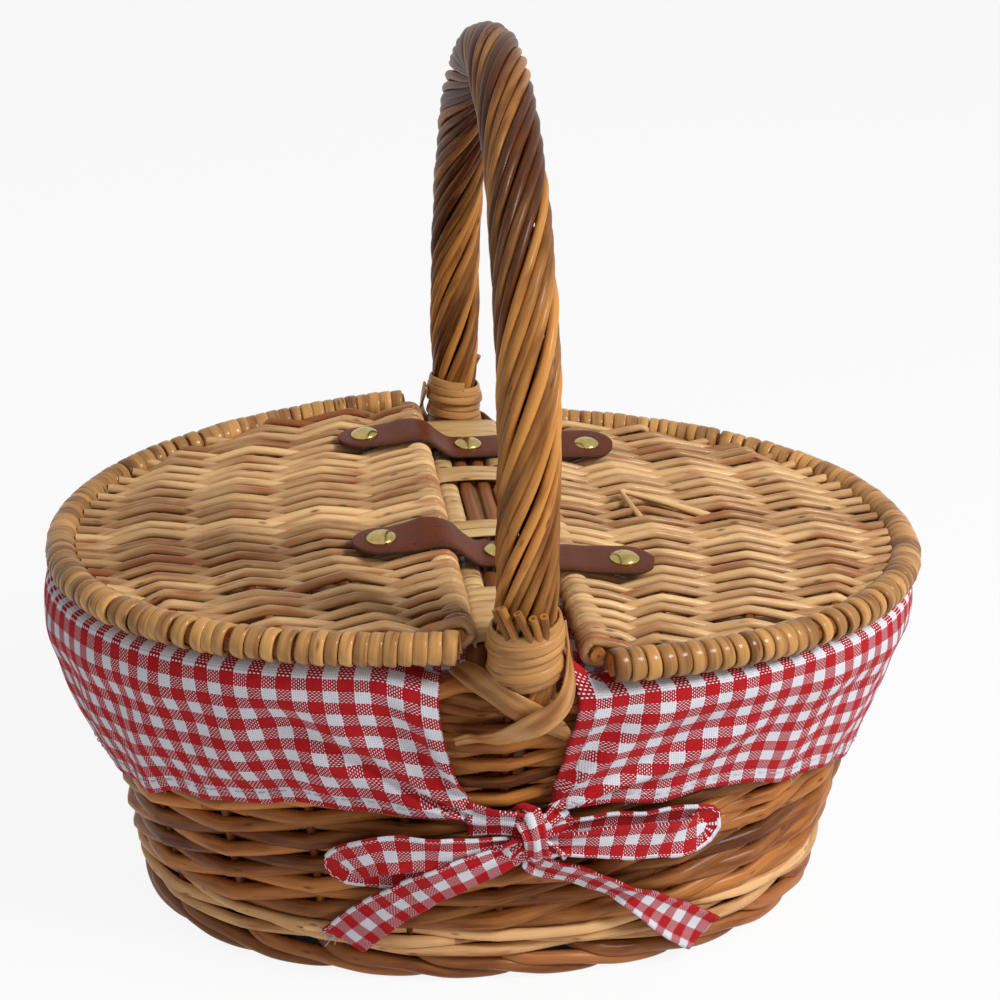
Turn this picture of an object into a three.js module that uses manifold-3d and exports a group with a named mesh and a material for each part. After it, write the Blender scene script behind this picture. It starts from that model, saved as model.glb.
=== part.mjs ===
// Oval wicker picnic basket with two lids, a rope-wrapped handle and a gingham liner.
// Millimetres, +Z up. X runs along the oval, from the left lid to the right lid,
// and the basket is looked at from -Y. It stands on z = 0 with its middle on the origin.
import * as THREE from "three";
import Module from "manifold-3d";
import { mergeVertices } from "three/addons/utils/BufferGeometryUtils.js";

const wasm = await Module();
wasm.setup();

// Clearances
const seat = 0.4; // between pieces that touch on the real basket
const running = 0.5; // round a rod that passes through a woven panel

// Oval body: every ring of it is an oval whose half depth is a fixed step less than its half length
const ovalPower = 2.1;
const ovalStep = 48.5;
const ringSteps = 36;
const footHeight = 13;
const footHalfLength = 133;
const waleTop = 25;
const wallHalfLengthAtFloor = 138;
const wallFlare = 0.195;
const wallThickness = 9;
const rimRadius = 6;
const rimTop = 139.4;
const rimInset = 4; // from the wall's outer face in to the middle of the rim
const stakes = 22;
const stakeShift = 0.4; // from the basket's right end to the first stake, in stake spacings
const weaverRows = 22;
const lowRowsWider = 0.22; // share by which the lowest rows are taller than the middle ones
const weaveRelief = 4.8; // from a weaver in front of a stake in to one behind it
const rimHalfLength = wallHalfLengthAtFloor + wallFlare * (rimTop - rimRadius) - rimInset;

// Lids: D-shaped, hinged along their straight edges and sloping down outwards
const lidHalfLength = 172;
const lidHalfDepth = 126;
const hoopRadius = 6.4;
const edgeRodRadius = 5.7;
const panelThickness = 10.4;
const panelBetween = 4.6; // thickness half way between two stakes, where the weavers cross
const panelBehind = 6.4; // thickness at a stake where the weavers pass under it
const panelRows = 18;
const stakeRadius = 2.3;
const stakeX = [65, 99, 131];
const stakeBow = [0.4, 0.28, 0.22];
const leftLid = { hingeX: 22, hingeZ: 159, slope: 0.0594, hoopFrom: 22.5 };
const rightLid = { hingeX: 27, hingeZ: 149.5, slope: 0.031, hoopFrom: 30 };

// Handle: a bow over the short axis, wrapped in willow rods
const handleY = 120;
const handleSpring = 215;
const handleApex = 336.6;
const handlePower = 1.87;
const ropeRadius = 10.7;
const ropeBore = 4.9;
const bowRadius = 3;
const ropeFootZ = rimTop + seat;
const bindingTurns = 5;
const bindingPitch = 3.9;
const skeinHeight = 3.3;
const skeinThickness = 1.8;
const bindingFootZ = 149.5;

// Bridge between the lids
const bridgeHalfWidth = 15.3;
const bridgeBottom = 148.6;
const bridgeTop = 156.4;
const bridgeStripEnd = 86;
const bridgeRods = [-12.2, -4.7, 4.7, 12.2];
const bridgeRodRadius = 2.5;
const barLength = 18;
const barThickness = 2.2;

// Leather straps and the places of their rivets, from left to right
const rivetsOf = {
  front: [[-43.2, -41.5], [0.4, -42], [46.8, -48]],
  back: [[-43, 64.5], [0.4, 66], [51, 68]],
};
const strapWidth = 20;
const strapThickness = 2.2;
const strapBeyond = 11.5;
const rivetHead = 5.4;
const rivetShank = 1.3;
const rivetHole = 2.1;

// Cloth
const clothThickness = 1.1;
const wallClothGap = 0.5;
const rimClothGap = 0.9;
const notchLeft = 29;
const notchRight = 18;
const notchFoot = rimTop - 15.4;
const bagShoulder = rimTop - 21.4;
const skirtSteps = 36;
const ribbonWidth = 14;

// Colours
const colours = {
  bodyWillow: [0x7a4a2a, 0.5],
  paleWillow: [0xb98a55, 0.5],
  lidWillow: [0xc0905c, 0.48],
  hoopWillow: [0xa97642, 0.45],
  handleWillow: [0xa8703a, 0.42],
  skein: [0xc69a60, 0.45],
  splint: [0xd2ac74, 0.55],
  stake: [0x8f5a30, 0.5],
  leather: [0x7b3c23, 0.6],
  gingham: [0xd66a74, 0.85],
};

const signedPower = (v, p) => Math.sign(v) * Math.abs(v) ** p;
const clamp01 = (v) => Math.min(1, Math.max(0, v));
const smooth = (a, b, v) => {
  const t = clamp01((v - a) / (b - a));
  return t * t * (3 - 2 * t);
};

// Half depth of the ring with a given half length, shrinking evenly towards the middle of the base
const halfDepth = (halfLength) => {
  const ring = Math.max(halfLength, 1e-6);
  return ring > 120 ? ring - ovalStep : ring * ((120 - ovalStep) / 120);
};

const ovalPoint = (halfLength, angle) => [
  halfLength * signedPower(Math.cos(angle), 2 / ovalPower),
  halfDepth(halfLength) * signedPower(Math.sin(angle), 2 / ovalPower),
];

const wallHalfLength = (z) => wallHalfLengthAtFloor + wallFlare * z;

// Height of a lid's middle plane, and of the rim that follows the lids and dips at the handle
const lidPlane = (lid, x) => lid.hingeZ - lid.slope * (Math.abs(x) - lid.hingeX);
const rimHeight = (x) => {
  const under = lidPlane(x < 0 ? leftLid : rightLid, x) - hoopRadius - clothThickness - rimClothGap - 0.3;
  const side = smooth(14, 58, Math.abs(x));
  return rimTop * (1 - side) + under * side;
};

// Lift that carries a point of the level body up or down with its rim
const sheer = (x, z) => (rimHeight(x) - rimTop) * clamp01((z - waleTop) / (rimTop - 2 * rimRadius - waleTop));

// Outer face of the wall: its depth at a place along the oval and a height
const wallFace = (x, z, offset) => {
  const a = wallHalfLength(z) + offset;
  return halfDepth(a) * (1 - Math.min(1, Math.abs(x) / a) ** ovalPower) ** (1 / ovalPower);
};

// Keeps only the positions, joins shared vertices, and turns every face outwards
function closed(geometry) {
  for (const name of Object.keys(geometry.attributes)) {
    if (name !== "position") geometry.deleteAttribute(name);
  }
  const g = mergeVertices(geometry, 1e-4);
  const p = g.attributes.position;
  const index = Array.from(g.index.array);
  const kept = [];
  let volume = 0;
  const [a, b, c] = [new THREE.Vector3(), new THREE.Vector3(), new THREE.Vector3()];
  for (let i = 0; i < index.length; i += 3) {
    const [u, v, w] = index.slice(i, i + 3);
    if (u === v || v === w || w === u) continue;
    kept.push(u, v, w);
    a.fromBufferAttribute(p, u);
    b.fromBufferAttribute(p, v);
    c.fromBufferAttribute(p, w);
    volume += a.dot(b.cross(c));
  }
  if (volume < 0) {
    for (let i = 0; i < kept.length; i += 3) [kept[i], kept[i + 1]] = [kept[i + 1], kept[i]];
  }
  g.setIndex(kept);
  return g;
}

// Moves every vertex of a closed geometry to a new place
function reshape(geometry, move) {
  const merged = closed(geometry);
  const p = merged.attributes.position;
  for (let i = 0; i < p.count; i++) {
    const q = move(p.getX(i), p.getY(i), p.getZ(i));
    p.setXYZ(i, q[0], q[1], q[2]);
  }
  return closed(merged);
}

const solid = (geometry) => {
  const g = closed(geometry);
  const vertProperties = new Float32Array(g.attributes.position.array);
  return new wasm.Manifold(
    new wasm.Mesh({ numProp: 3, vertProperties, triVerts: new Uint32Array(g.index.array) })
  );
};

const geometryOf = (manifold) => {
  const mesh = manifold.getMesh();
  const g = new THREE.BufferGeometry();
  g.setAttribute("position", new THREE.BufferAttribute(new Float32Array(mesh.vertProperties), 3));
  g.setIndex(Array.from(mesh.triVerts));
  return g;
};

// A closed profile of [half length, z] points, taken round the oval
function ovalRing(profile, steps = ringSteps, withSheer = true) {
  const points = profile.map(([r, z]) => new THREE.Vector2(r, z));
  const lathe = new THREE.LatheGeometry(points, steps);
  return reshape(lathe, (x, y, z) => {
    const [px, py] = ovalPoint(Math.hypot(x, z), Math.atan2(z, x));
    return [px, py, y + (withSheer ? sheer(px, y) : 0)];
  });
}

const loop = (profile) => [...profile, profile[0]];

const circleProfile = (r, z, radius, sides) =>
  Array.from({ length: sides }, (_, k) => {
    const t = (2 * Math.PI * (k + 0.5)) / sides;
    return [r + radius * Math.cos(t), z + radius * Math.sin(t)];
  });

// A round rod of a given radius along a path of points
function rod(path, radius, sides = 8, steps = path.length * 2) {
  const curve = new THREE.CatmullRomCurve3(path.map((q) => new THREE.Vector3(...q)));
  const section = new THREE.Shape();
  for (let k = 0; k <= sides; k++) {
    const t = (2 * Math.PI * k) / sides;
    const at = [radius * Math.cos(t), radius * Math.sin(t)];
    if (k === 0) section.moveTo(...at);
    else section.lineTo(...at);
  }
  return new THREE.ExtrudeGeometry(section, { steps, extrudePath: curve, bevelEnabled: false });
}

// A flat band: a box whose length follows a path, laid flat on a surface with a given outward way
function band(path, outward, width, thickness, steps) {
  const curve = new THREE.CatmullRomCurve3(path.map((q) => new THREE.Vector3(...q)));
  const box = new THREE.BoxGeometry(1, 1, 1, steps, 1, 1);
  return reshape(box, (u, v, w) => {
    const t = clamp01(u + 0.5);
    const at = curve.getPointAt(t);
    const along = curve.getTangentAt(t);
    const out = new THREE.Vector3(...(typeof outward === "function" ? outward(at, t) : outward));
    out.addScaledVector(along, -out.dot(along)).normalize();
    const side = new THREE.Vector3().crossVectors(out, along);
    const wide = typeof width === "function" ? width(t) : width;
    at.addScaledVector(side, v * wide).addScaledVector(out, w * thickness);
    return [at.x, at.y, at.z];
  });
}

const basket = new THREE.Group();

function piece(name, geometry, colour, parent = basket) {
  const [color, roughness] = colour;
  const metalness = colour[2] ?? 0;
  const mesh = new THREE.Mesh(closed(geometry), new THREE.MeshStandardMaterial({ color, roughness, metalness }));
  mesh.name = name;
  parent.add(mesh);
  return mesh;
}

// Handle path: straight legs and a rounded top, in the plane x = 0
function handlePath(footY, footZ) {
  const legs = [[0, -footY, footZ]];
  for (const z of [168, 192]) legs.push([0, -handleY, z]);
  const arch = [];
  for (let k = 0; k <= 16; k++) {
    const t = (Math.PI * k) / 16;
    const y = -handleY * signedPower(Math.cos(t), 2 / handlePower);
    const z = handleSpring + (handleApex - handleSpring) * Math.abs(Math.sin(t)) ** (2 / handlePower);
    arch.push([0, y, z]);
  }
  const back = legs.map(([x, y, z]) => [x, -y, z]).reverse();
  return [...legs, ...arch, ...back];
}

// The bare bow runs on below the wrapping, bends in over the rim and ends inside the wall
const buriedDepths = [[119.9, 141.2], [115.4, 134.4], [110, 122.4], [105, 102]];
const bowPath = (() => {
  const top = handlePath(handleY, 149);
  const front = buriedDepths.map(([y, z]) => [0, -y, z]).reverse();
  const back = buriedDepths.map(([y, z]) => [0, y, z]);
  return [...front, ...top, ...back];
})();
const handleBow = rod(bowPath, bowRadius, 6, 48);
const bowHole = solid(rod(bowPath, bowRadius + running, 6, 48));
piece("handle_bow", handleBow, colours.stake);

// Body: foot border, base, wale, woven wall and rolled rim
const foot = [
  [footHalfLength - 6.5, 0], [footHalfLength + 3, 0], [footHalfLength + 6, 3.2],
  [footHalfLength + 6.6, 8.5], [footHalfLength + 4, footHeight], [footHalfLength - 4, footHeight],
  [footHalfLength - 6.6, 9],
];
piece("foot_border", ovalRing(loop(foot)), colours.paleWillow);

const baseHalfLength = footHalfLength - 7.4;
const basePlate = [[0, 6], [baseHalfLength, 6], [baseHalfLength, footHeight - 0.4], [0, footHeight - 0.4]];
piece("base_weave", ovalRing(basePlate), colours.bodyWillow);

const wallRing = (heights) => [
  ...heights.map((z) => [wallHalfLength(z), z]),
  ...heights.map((z) => [wallHalfLength(z) - wallThickness, z]).reverse(),
];
piece("lower_wale", ovalRing(loop(wallRing([footHeight + 0.3, waleTop]))), colours.paleWillow);

// Woven wall: at a stake the rows stand out and lie back by turns, and midway they are level
const wallTop = rimTop - 2 * rimRadius - 0.7;
const wallFoot = waleTop + 0.3;
const rowHeights = Array.from({ length: weaverRows + 1 }, (_, row) => {
  const t = row / weaverRows;
  return wallFoot + (wallTop - wallFoot) * t * (1 + lowRowsWider * (1 - t));
});
const shownRows = 14; // above these the cloth hides the wall, and only its front rows are made
const ringPlaces = 720;
const ringArc = [0];
for (let k = 1; k <= ringPlaces; k++) {
  const [a, b] = [k - 1, k].map((n) => ovalPoint(wallHalfLength(60), (2 * Math.PI * n) / ringPlaces));
  ringArc.push(ringArc[k - 1] + Math.hypot(b[0] - a[0], b[1] - a[1]));
}
const stakeAngle = (place) => {
  const turn = place / stakes - Math.floor(place / stakes);
  const k = ringArc.findIndex((arc) => arc > turn * ringArc[ringPlaces]);
  const part = (turn * ringArc[ringPlaces] - ringArc[k - 1]) / (ringArc[k] - ringArc[k - 1]);
  return (2 * Math.PI * (k - 1 + part)) / ringPlaces;
};
const wovenRing = (() => {
  const made = rowHeights.filter((_, row) => row < shownRows || row % 2 || row === weaverRows);
  const face = made.map((z) => [wallHalfLength(z), z]);
  const inside = [wallTop, wallFoot].map((z) => [wallHalfLength(z) - 2 * wallThickness, z]);
  const profile = loop([...face, ...inside]).map(([r, z]) => new THREE.Vector2(r, z));
  return reshape(new THREE.LatheGeometry(profile, 2 * stakes), (x, y, z) => {
    const halfStakes = Math.round((Math.atan2(x, z) / Math.PI) * stakes);
    const angle = stakeAngle(halfStakes / 2 + stakeShift);
    const row = rowHeights.findIndex((height) => Math.abs(height - y) < 0.01);
    const besideBow = Math.abs(ovalPoint(wallHalfLength(y), angle)[0]) < 10 && y > 92;
    let back = halfStakes % 2 ? 0.5 : 1 - (row % 2);
    if (besideBow || Math.hypot(x, z) < wallHalfLength(y) - wallThickness) back = 0;
    const [px, py] = ovalPoint(Math.hypot(x, z) - back * weaveRelief, angle);
    return [px, py, y + sheer(px, y)];
  });
})();
const wallBore = [wallFoot - 5, wallTop + 5].map((z) => [wallHalfLength(z) - wallThickness, z]);
const bore = ovalRing([[0, wallFoot - 5], ...wallBore, [0, wallTop + 5]]);
const sideWeave = solid(wovenRing).subtract(solid(bore)).subtract(bowHole);
piece("side_weave", geometryOf(sideWeave), colours.bodyWillow);

const rimProfile = circleProfile(rimHalfLength, rimTop - rimRadius, rimRadius, 8);
const rimRoll = solid(ovalRing(loop(rimProfile))).subtract(bowHole);
piece("rim_border", geometryOf(rimRoll), colours.bodyWillow);

// Handle wrapping: twelve rods laid round the bow, here their common sleeve
const ropePath = new THREE.CatmullRomCurve3(
  handlePath(handleY, ropeFootZ).map((q) => new THREE.Vector3(...q))
);
const sleeve = new THREE.Shape();
sleeve.absarc(0, 0, ropeRadius, 0, 2 * Math.PI);
const bowSpace = new THREE.Path();
bowSpace.absarc(0, 0, ropeBore, 0, 2 * Math.PI);
sleeve.holes.push(bowSpace);
const rope = new THREE.ExtrudeGeometry(sleeve, {
  steps: 24, curveSegments: 8, extrudePath: ropePath, bevelEnabled: false,
});
piece("handle_rope", rope, colours.handleWillow);

// Bindings at the handle's feet: a flat skein wound round the wrapping in one unbroken length
const windingRadius = ropeRadius + seat + skeinThickness / 2;
const turnSteps = 12;
const windingPoint = (turn) => new THREE.Vector3(
  windingRadius * Math.cos(2 * Math.PI * turn),
  windingRadius * Math.sin(2 * Math.PI * turn),
  bindingPitch * turn
);
const winding = reshape(
  new THREE.CylinderGeometry(1, 1, 1, 6, turnSteps * bindingTurns), (x, y, z) => {
    const turn = (y + 0.5) * bindingTurns;
    const at = windingPoint(turn);
    const out = new THREE.Vector3(at.x, at.y, 0).normalize();
    at.addScaledVector(out, (x * skeinThickness) / 2);
    at.z += (z * skeinHeight) / 2 / Math.cos(Math.PI / 6);
    return [at.x, at.y, at.z];
  }
);
let leastGap = Infinity;
for (let k = 0; k < bindingTurns * turnSteps; k++) {
  for (let j = k + turnSteps / 2; j <= bindingTurns * turnSteps; j++) {
    const apart = windingPoint(k / turnSteps).distanceTo(windingPoint(j / turnSteps));
    leastGap = Math.min(leastGap, apart - skeinHeight);
  }
}
console.log(`least gap between turns of a handle binding: ${leastGap.toFixed(2)} mm`);

// Everything that the front and the back share is built once for the front and turned for the back
const front = new THREE.Group();
const back = new THREE.Group();
back.rotation.z = Math.PI;
basket.add(front, back);
const both = [["front", front], ["back", back]];
for (const [side, group] of both) {
  const binding = piece(`handle_binding_${side}`, winding.clone(), colours.skein, group);
  binding.position.set(0, -handleY, bindingFootZ);
}

// Flat skeins that cross below the binding: one from the bridge over the rim, and one from the
// handle's side, each down to the wall. Places are from the handle's foot, at the rim's height.
const handleFoot = [0, -handleY, rimTop];
const wallEnd = (x, z) => [x, -wallFace(x, z, 1.2), z];
const fromFoot = (points) => points.map((at) => at.map((value, axis) => value + handleFoot[axis]));
const overRimPath = [
  ...fromFoot([[-22.3, 8, 8.8], [-17.8, 0.6, 8.6], [-12.8, -6.8, 7.4], [-6.8, -11.5, 4.6]]),
  ...fromFoot([[-1.6, -12, 1.2], [3.2, -9.8, -3], [7.6, -5, -8], [11.6, 1.2, -13.6]]),
  wallEnd(17.6, rimTop - 20.4),
];
const besideHandlePath = [
  ...fromFoot([[13.6, 3.4, 28.4], [14.4, -1, 18.6], [13.9, -6.4, 10], [11.6, -11.4, 4.2], [7.2, -14.2, 0.2]]),
  ...fromFoot([[0.6, -14, -4], [-5.9, -8.2, -10.4], [-11.6, -1, -15.6]]),
  wallEnd(-17.2, rimTop - 19), wallEnd(-23.2, rimTop - 20.4),
];
const away = (at, t, leaves) => {
  const low = smooth(leaves, leaves + 0.3, t);
  return [at.x * (1 - low), (at.y + handleY) * (1 - low) - 10 * low, -4 * low];
};
const awayOverRim = (at, t) => {
  const flat = 1 - smooth(0, 0.3, t);
  const [x, y, z] = away(at, t, 0.4);
  return [x * (1 - flat), y * (1 - flat) - 4 * flat, z + 12 * flat];
};
const skeinWidth = (t) => 7.4 - 3.4 * smooth(0.8, 1, t);
for (const [side, group] of both) {
  const under = band(overRimPath, awayOverRim, skeinWidth, 1.1, 16);
  const over = band(besideHandlePath, (at, t) => away(at, t, 0.45), skeinWidth, 1.1, 18);
  piece(`lashing_under_${side}`, under, colours.skein, group);
  piece(`lashing_over_${side}`, over, colours.skein, group);
}

// Bridge: four rods that end on the rim, a woven strip round them and a wide splint at each end
const bridgeMiddle = (bridgeBottom + bridgeTop) / 2;
const bridgeEndLine = [[-107.2, 139.8], [-101, 145.2], [-94.5, 150]];
let strip = solid(
  new THREE.BoxGeometry(2 * bridgeHalfWidth, 2 * bridgeStripEnd, bridgeTop - bridgeBottom)
    .translate(0, 0, bridgeMiddle)
);
bridgeRods.forEach((x, k) => {
  const middle = [[-86, bridgeMiddle], [0, bridgeMiddle], [86, bridgeMiddle]];
  const backEnd = bridgeEndLine.map(([y, z]) => [-y, z]).reverse();
  const path = [...bridgeEndLine, ...middle, ...backEnd].map(([y, z]) => [x, y, z]);
  strip = strip.subtract(solid(rod(path, bridgeRodRadius + running, 6, 14)));
  piece(`bridge_rod_${k + 1}`, rod(path, bridgeRodRadius, 6, 14), colours.stake);
});

// Height of the middle of a strap's thickness: over the lids' edges and down on the bridge
const strapSeat = strapThickness / 2 + 0.35;
const strapLine = [
  ...[-56, -42, -32].map((x) => [x, lidPlane(leftLid, x) + panelThickness / 2 + strapSeat]),
  [-leftLid.hingeX, leftLid.hingeZ + edgeRodRadius + strapSeat + 0.3], [-16.6, 165.2], [-11.6, 160.6],
  [-6.2, bridgeTop + strapSeat + 0.1], [7, bridgeTop + strapSeat], [15.5, bridgeTop + strapSeat + 0.1],
  [21.6, 156.4], [rightLid.hingeX, rightLid.hingeZ + edgeRodRadius + strapSeat + 0.1],
  ...[36, 48, 63].map((x) => [x, lidPlane(rightLid, x) + panelThickness / 2 + strapSeat + 0.1]),
];
const between = (line, x) => {
  const k = Math.max(1, line.findIndex(([at]) => at >= x));
  const [[x0, v0], [x1, v1]] = [line[k - 1], line[k]];
  return v0 + ((v1 - v0) * (x - x0)) / (x1 - x0);
};

// Rivets: a domed head and a shank that goes down to a ring underneath
const rivetProfile = (length) => [
  [0, -length], [rivetShank, -length], [rivetShank, 0], [rivetHead, 0], [rivetHead, 0.5],
  [rivetHead * 0.78, 1.6], [rivetHead * 0.4, 2.2], [0, 2.4],
].map(([r, z]) => new THREE.Vector2(r, z));
const ringProfile = loop([[rivetShank + 0.3, 0], [rivetHead, 0], [rivetHead, 1], [rivetShank + 0.3, 1]])
  .map(([r, z]) => new THREE.Vector2(r, z));
const brass = [0xb49a4c, 0.28, 1];
const hole = (x, y, z) =>
  solid(new THREE.CylinderGeometry(rivetHole, rivetHole, 60, 8).rotateX(Math.PI / 2).translate(x, y, z));
function rivet(name, x, y, top, length, parent) {
  const head = piece(`rivet_${name}`, new THREE.LatheGeometry(rivetProfile(length), 8), brass, parent);
  head.rotation.x = Math.PI / 2;
  head.position.set(x, y, top);
  const ring = piece(`rivet_ring_${name}`, new THREE.LatheGeometry(ringProfile, 8), brass, parent);
  ring.rotation.x = Math.PI / 2;
  ring.position.set(x, y, top - length + 0.3);
}
for (const [side, [, [x, y]]] of Object.entries(rivetsOf)) {
  strip = strip.subtract(hole(x, y, bridgeMiddle));
  const top = between(strapLine, x) + strapThickness / 2 + 0.5;
  rivet(`${side}_middle`, x, y, top, top - bridgeBottom + 1.6, basket);
}
piece("bridge_weave", geometryOf(strip), colours.splint);
for (const [side, group] of both) {
  const bar = new THREE.BoxGeometry(2 * bridgeHalfWidth, barLength, barThickness, 1, 6, 1);
  const over = bridgeRodRadius + 0.4 + barThickness / 2;
  const path = [[-bridgeStripEnd - 0.5, bridgeMiddle + 0.1], ...bridgeEndLine.toReversed()]
    .map(([y, z]) => new THREE.Vector3(0, y, z));
  const curve = new THREE.CatmullRomCurve3(path);
  const bent = reshape(bar, (x, y, z) => {
    const t = (0.5 - y / barLength) * 0.82;
    const at = curve.getPointAt(clamp01(t));
    const along = curve.getTangentAt(clamp01(t));
    return [x, at.y + along.z * (z + over), at.z - along.y * (z + over)];
  });
  piece(`bridge_bar_${side}`, bent, colours.splint, group);
}

// Leather straps: one length from lid to lid over the bridge, with round ends
for (const [side, places] of Object.entries(rivetsOf)) {
  const [left, right] = [places[0][0] - strapBeyond, places[2][0] + strapBeyond];
  const inner = strapLine.filter(([x]) => x > left + 6 && x < right - 6).map(([x]) => x);
  const path = [left, ...inner, right].map((x) => {
    const y = between(places, Math.min(places[2][0], Math.max(places[0][0], x)));
    return [x, y, between(strapLine, x)];
  });
  const length = new THREE.CatmullRomCurve3(path.map((q) => new THREE.Vector3(...q))).getLength();
  const half = strapWidth / 2;
  const width = (t) => {
    const short = Math.max(0, half - Math.min(t, 1 - t) * length);
    return 2 * Math.sqrt(Math.max(half * half - short * short, 9));
  };
  let strap = solid(band(path, [0, 0, 1], width, strapThickness, 36));
  for (const [x, y] of places) strap = strap.subtract(hole(x, y, bridgeTop));
  piece(`strap_${side}`, geometryOf(strap), colours.leather);
}

// Lids, each in its own frame: the hinge line is the Y axis and the lid reaches out along +X
const lidOutline = (inset, from, steps) => {
  const [a, b] = [lidHalfLength - hoopRadius - inset, lidHalfDepth - hoopRadius - inset];
  const end = Math.acos((from / a) ** (ovalPower / 2));
  return Array.from({ length: steps + 1 }, (_, k) => {
    const t = -end + (2 * end * k) / steps;
    return [a * signedPower(Math.cos(t), 2 / ovalPower), b * signedPower(Math.sin(t), 2 / ovalPower)];
  });
};
const insideLid = (x, y, inset) => {
  const [a, b] = [lidHalfLength - hoopRadius - inset, lidHalfDepth - hoopRadius - inset];
  return (Math.abs(x) / a) ** ovalPower + (Math.abs(y) / b) ** ovalPower < 1;
};

// Relief of a lid's weave: ridges along the stakes, higher and lower by turns as the rows cross them
function ribbedPlate(lid, local, stakeLine) {
  const edge = lid.hingeX + edgeRodRadius;
  const columns = (y) => {
    const lines = [edge, ...stakeX.map((_, k) => stakeLine(k, y)), lidHalfLength + 20];
    return lines.flatMap((x, k) => (k ? [(lines[k - 1] + x) / 2, x] : [x]));
  };
  const steps = 2 * (stakeX.length + 1);
  const plate = new THREE.BoxGeometry(1, 1, 1, steps, panelRows, 1);
  return solid(reshape(plate, (u, v, w) => {
    const [column, row] = [Math.round((u + 0.5) * steps), Math.round((v + 0.5) * panelRows)];
    const y = v * 2 * lidHalfDepth;
    const atStake = column % 2 === 0;
    const over = (column / 2 + row) % 2 === (w > 0 ? 0 : 1);
    const thickness = atStake ? (over ? panelThickness : panelBehind) : panelBetween;
    return [local(columns(y)[column]), y, w * thickness];
  }));
}

function buildLid(name, lid, turned) {
  const tilt = Math.atan(lid.slope);
  const local = (x) => (x - lid.hingeX) / Math.cos(tilt);
  const frame = new THREE.Group();
  frame.position.set(turned ? -lid.hingeX : lid.hingeX, 0, lid.hingeZ);
  frame.rotation.z = turned ? Math.PI : 0;
  const leaf = new THREE.Group();
  leaf.rotation.y = tilt;
  frame.add(leaf);
  basket.add(frame);
  const hoopPath = lidOutline(0, lid.hoopFrom, 30).map(([x, y]) => [local(x), y, 0]);
  piece(`${name}_hoop`, rod(hoopPath, hoopRadius, 8, 30), colours.hoopWillow, leaf);
  const edgeReach = lidHalfDepth - 2 * hoopRadius - seat - 2;
  const edge = [[0, -edgeReach, 0], [0, edgeReach, 0]];
  piece(`${name}_edge_rod`, rod(edge, edgeRodRadius, 10, 1), colours.hoopWillow, leaf);
  const panel = new THREE.Shape();
  lidOutline(hoopRadius + seat, lid.hingeX + edgeRodRadius + seat, 28).forEach(([x, y], k) => {
    if (k === 0) panel.moveTo(local(x), y);
    else panel.lineTo(local(x), y);
  });
  panel.closePath();
  const slab = new THREE.ExtrudeGeometry(panel, { depth: panelThickness, bevelEnabled: false });
  const stakeLine = (k, y) => stakeX[k] * (1 - stakeBow[k] * (y / lidHalfDepth) ** 2);
  let weave = solid(slab.translate(0, 0, -panelThickness / 2)).intersect(ribbedPlate(lid, local, stakeLine));
  stakeX.forEach((x0, k) => {
    const bowed = (y) => stakeLine(k, y);
    let reach = lidHalfDepth;
    while (!insideLid(bowed(reach), reach, hoopRadius + stakeRadius + 1)) reach -= 0.25;
    const path = (far) => Array.from({ length: 9 }, (_, j) => {
      const y = far * (j / 4 - 1);
      return [local(bowed(y)), y, 0];
    });
    weave = weave.subtract(solid(rod(path(reach + 14), stakeRadius + running, 6, 10)));
    piece(`${name}_stake_${k + 1}`, rod(path(reach), stakeRadius, 6, 10), colours.stake, leaf);
  });
  for (const [side, places] of Object.entries(rivetsOf)) {
    const [x, y] = turned ? places[0] : places[2];
    const [along, across] = [local(Math.abs(x)), turned ? -y : y];
    weave = weave.subtract(hole(along, across, 0));
    const top = (between(strapLine, x) - lidPlane(lid, x)) * Math.cos(tilt) + strapThickness / 2 + 0.5;
    const stem = top + panelThickness / 2 + 1.6;
    rivet(`${side}_${turned ? "left" : "right"}`, along, across, top, stem, leaf);
  }
  piece(`${name}_weave`, geometryOf(weave), colours.lidWillow, leaf);
}
buildLid("lid_left", leftLid, true);
buildLid("lid_right", rightLid, false);

// Liner: a cloth bag inside the wall, rolled over the rim, cut low where the handle comes down
const inWall = (z, gap) => [wallHalfLength(z) - wallThickness - gap, z];
const overRim = (angle, gap) => [
  rimHalfLength + (rimRadius + gap) * Math.cos((angle * Math.PI) / 180),
  rimTop - rimRadius + (rimRadius + gap) * Math.sin((angle * Math.PI) / 180),
];
const bagProfile = [
  [0, footHeight + seat], [wallHalfLength(footHeight) - wallThickness - 1.2, footHeight + seat],
  inWall(26, wallClothGap), inWall(bagShoulder, wallClothGap),
  ...[168, 105, 35].map((angle) => overRim(angle, rimClothGap + 0.8)),
  ...[35, 105, 168].map((angle) => overRim(angle, rimClothGap + 0.8 + clothThickness)),
  inWall(bagShoulder, wallClothGap + clothThickness), inWall(26, wallClothGap + clothThickness),
  [wallHalfLength(footHeight) - wallThickness - 2.3, footHeight + seat + clothThickness],
  [0, footHeight + seat + clothThickness],
];
const notchTo = (side) => {
  const width = notchLeft + notchRight;
  const middle = (side * (notchRight - notchLeft)) / 2;
  return solid(new THREE.BoxGeometry(width, 200, 60).translate(middle, -side * 100, notchFoot + 30));
};
const bag = solid(ovalRing(bagProfile)).subtract(notchTo(1)).subtract(notchTo(-1));
piece("liner_bag", geometryOf(bag), colours.gingham);

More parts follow.
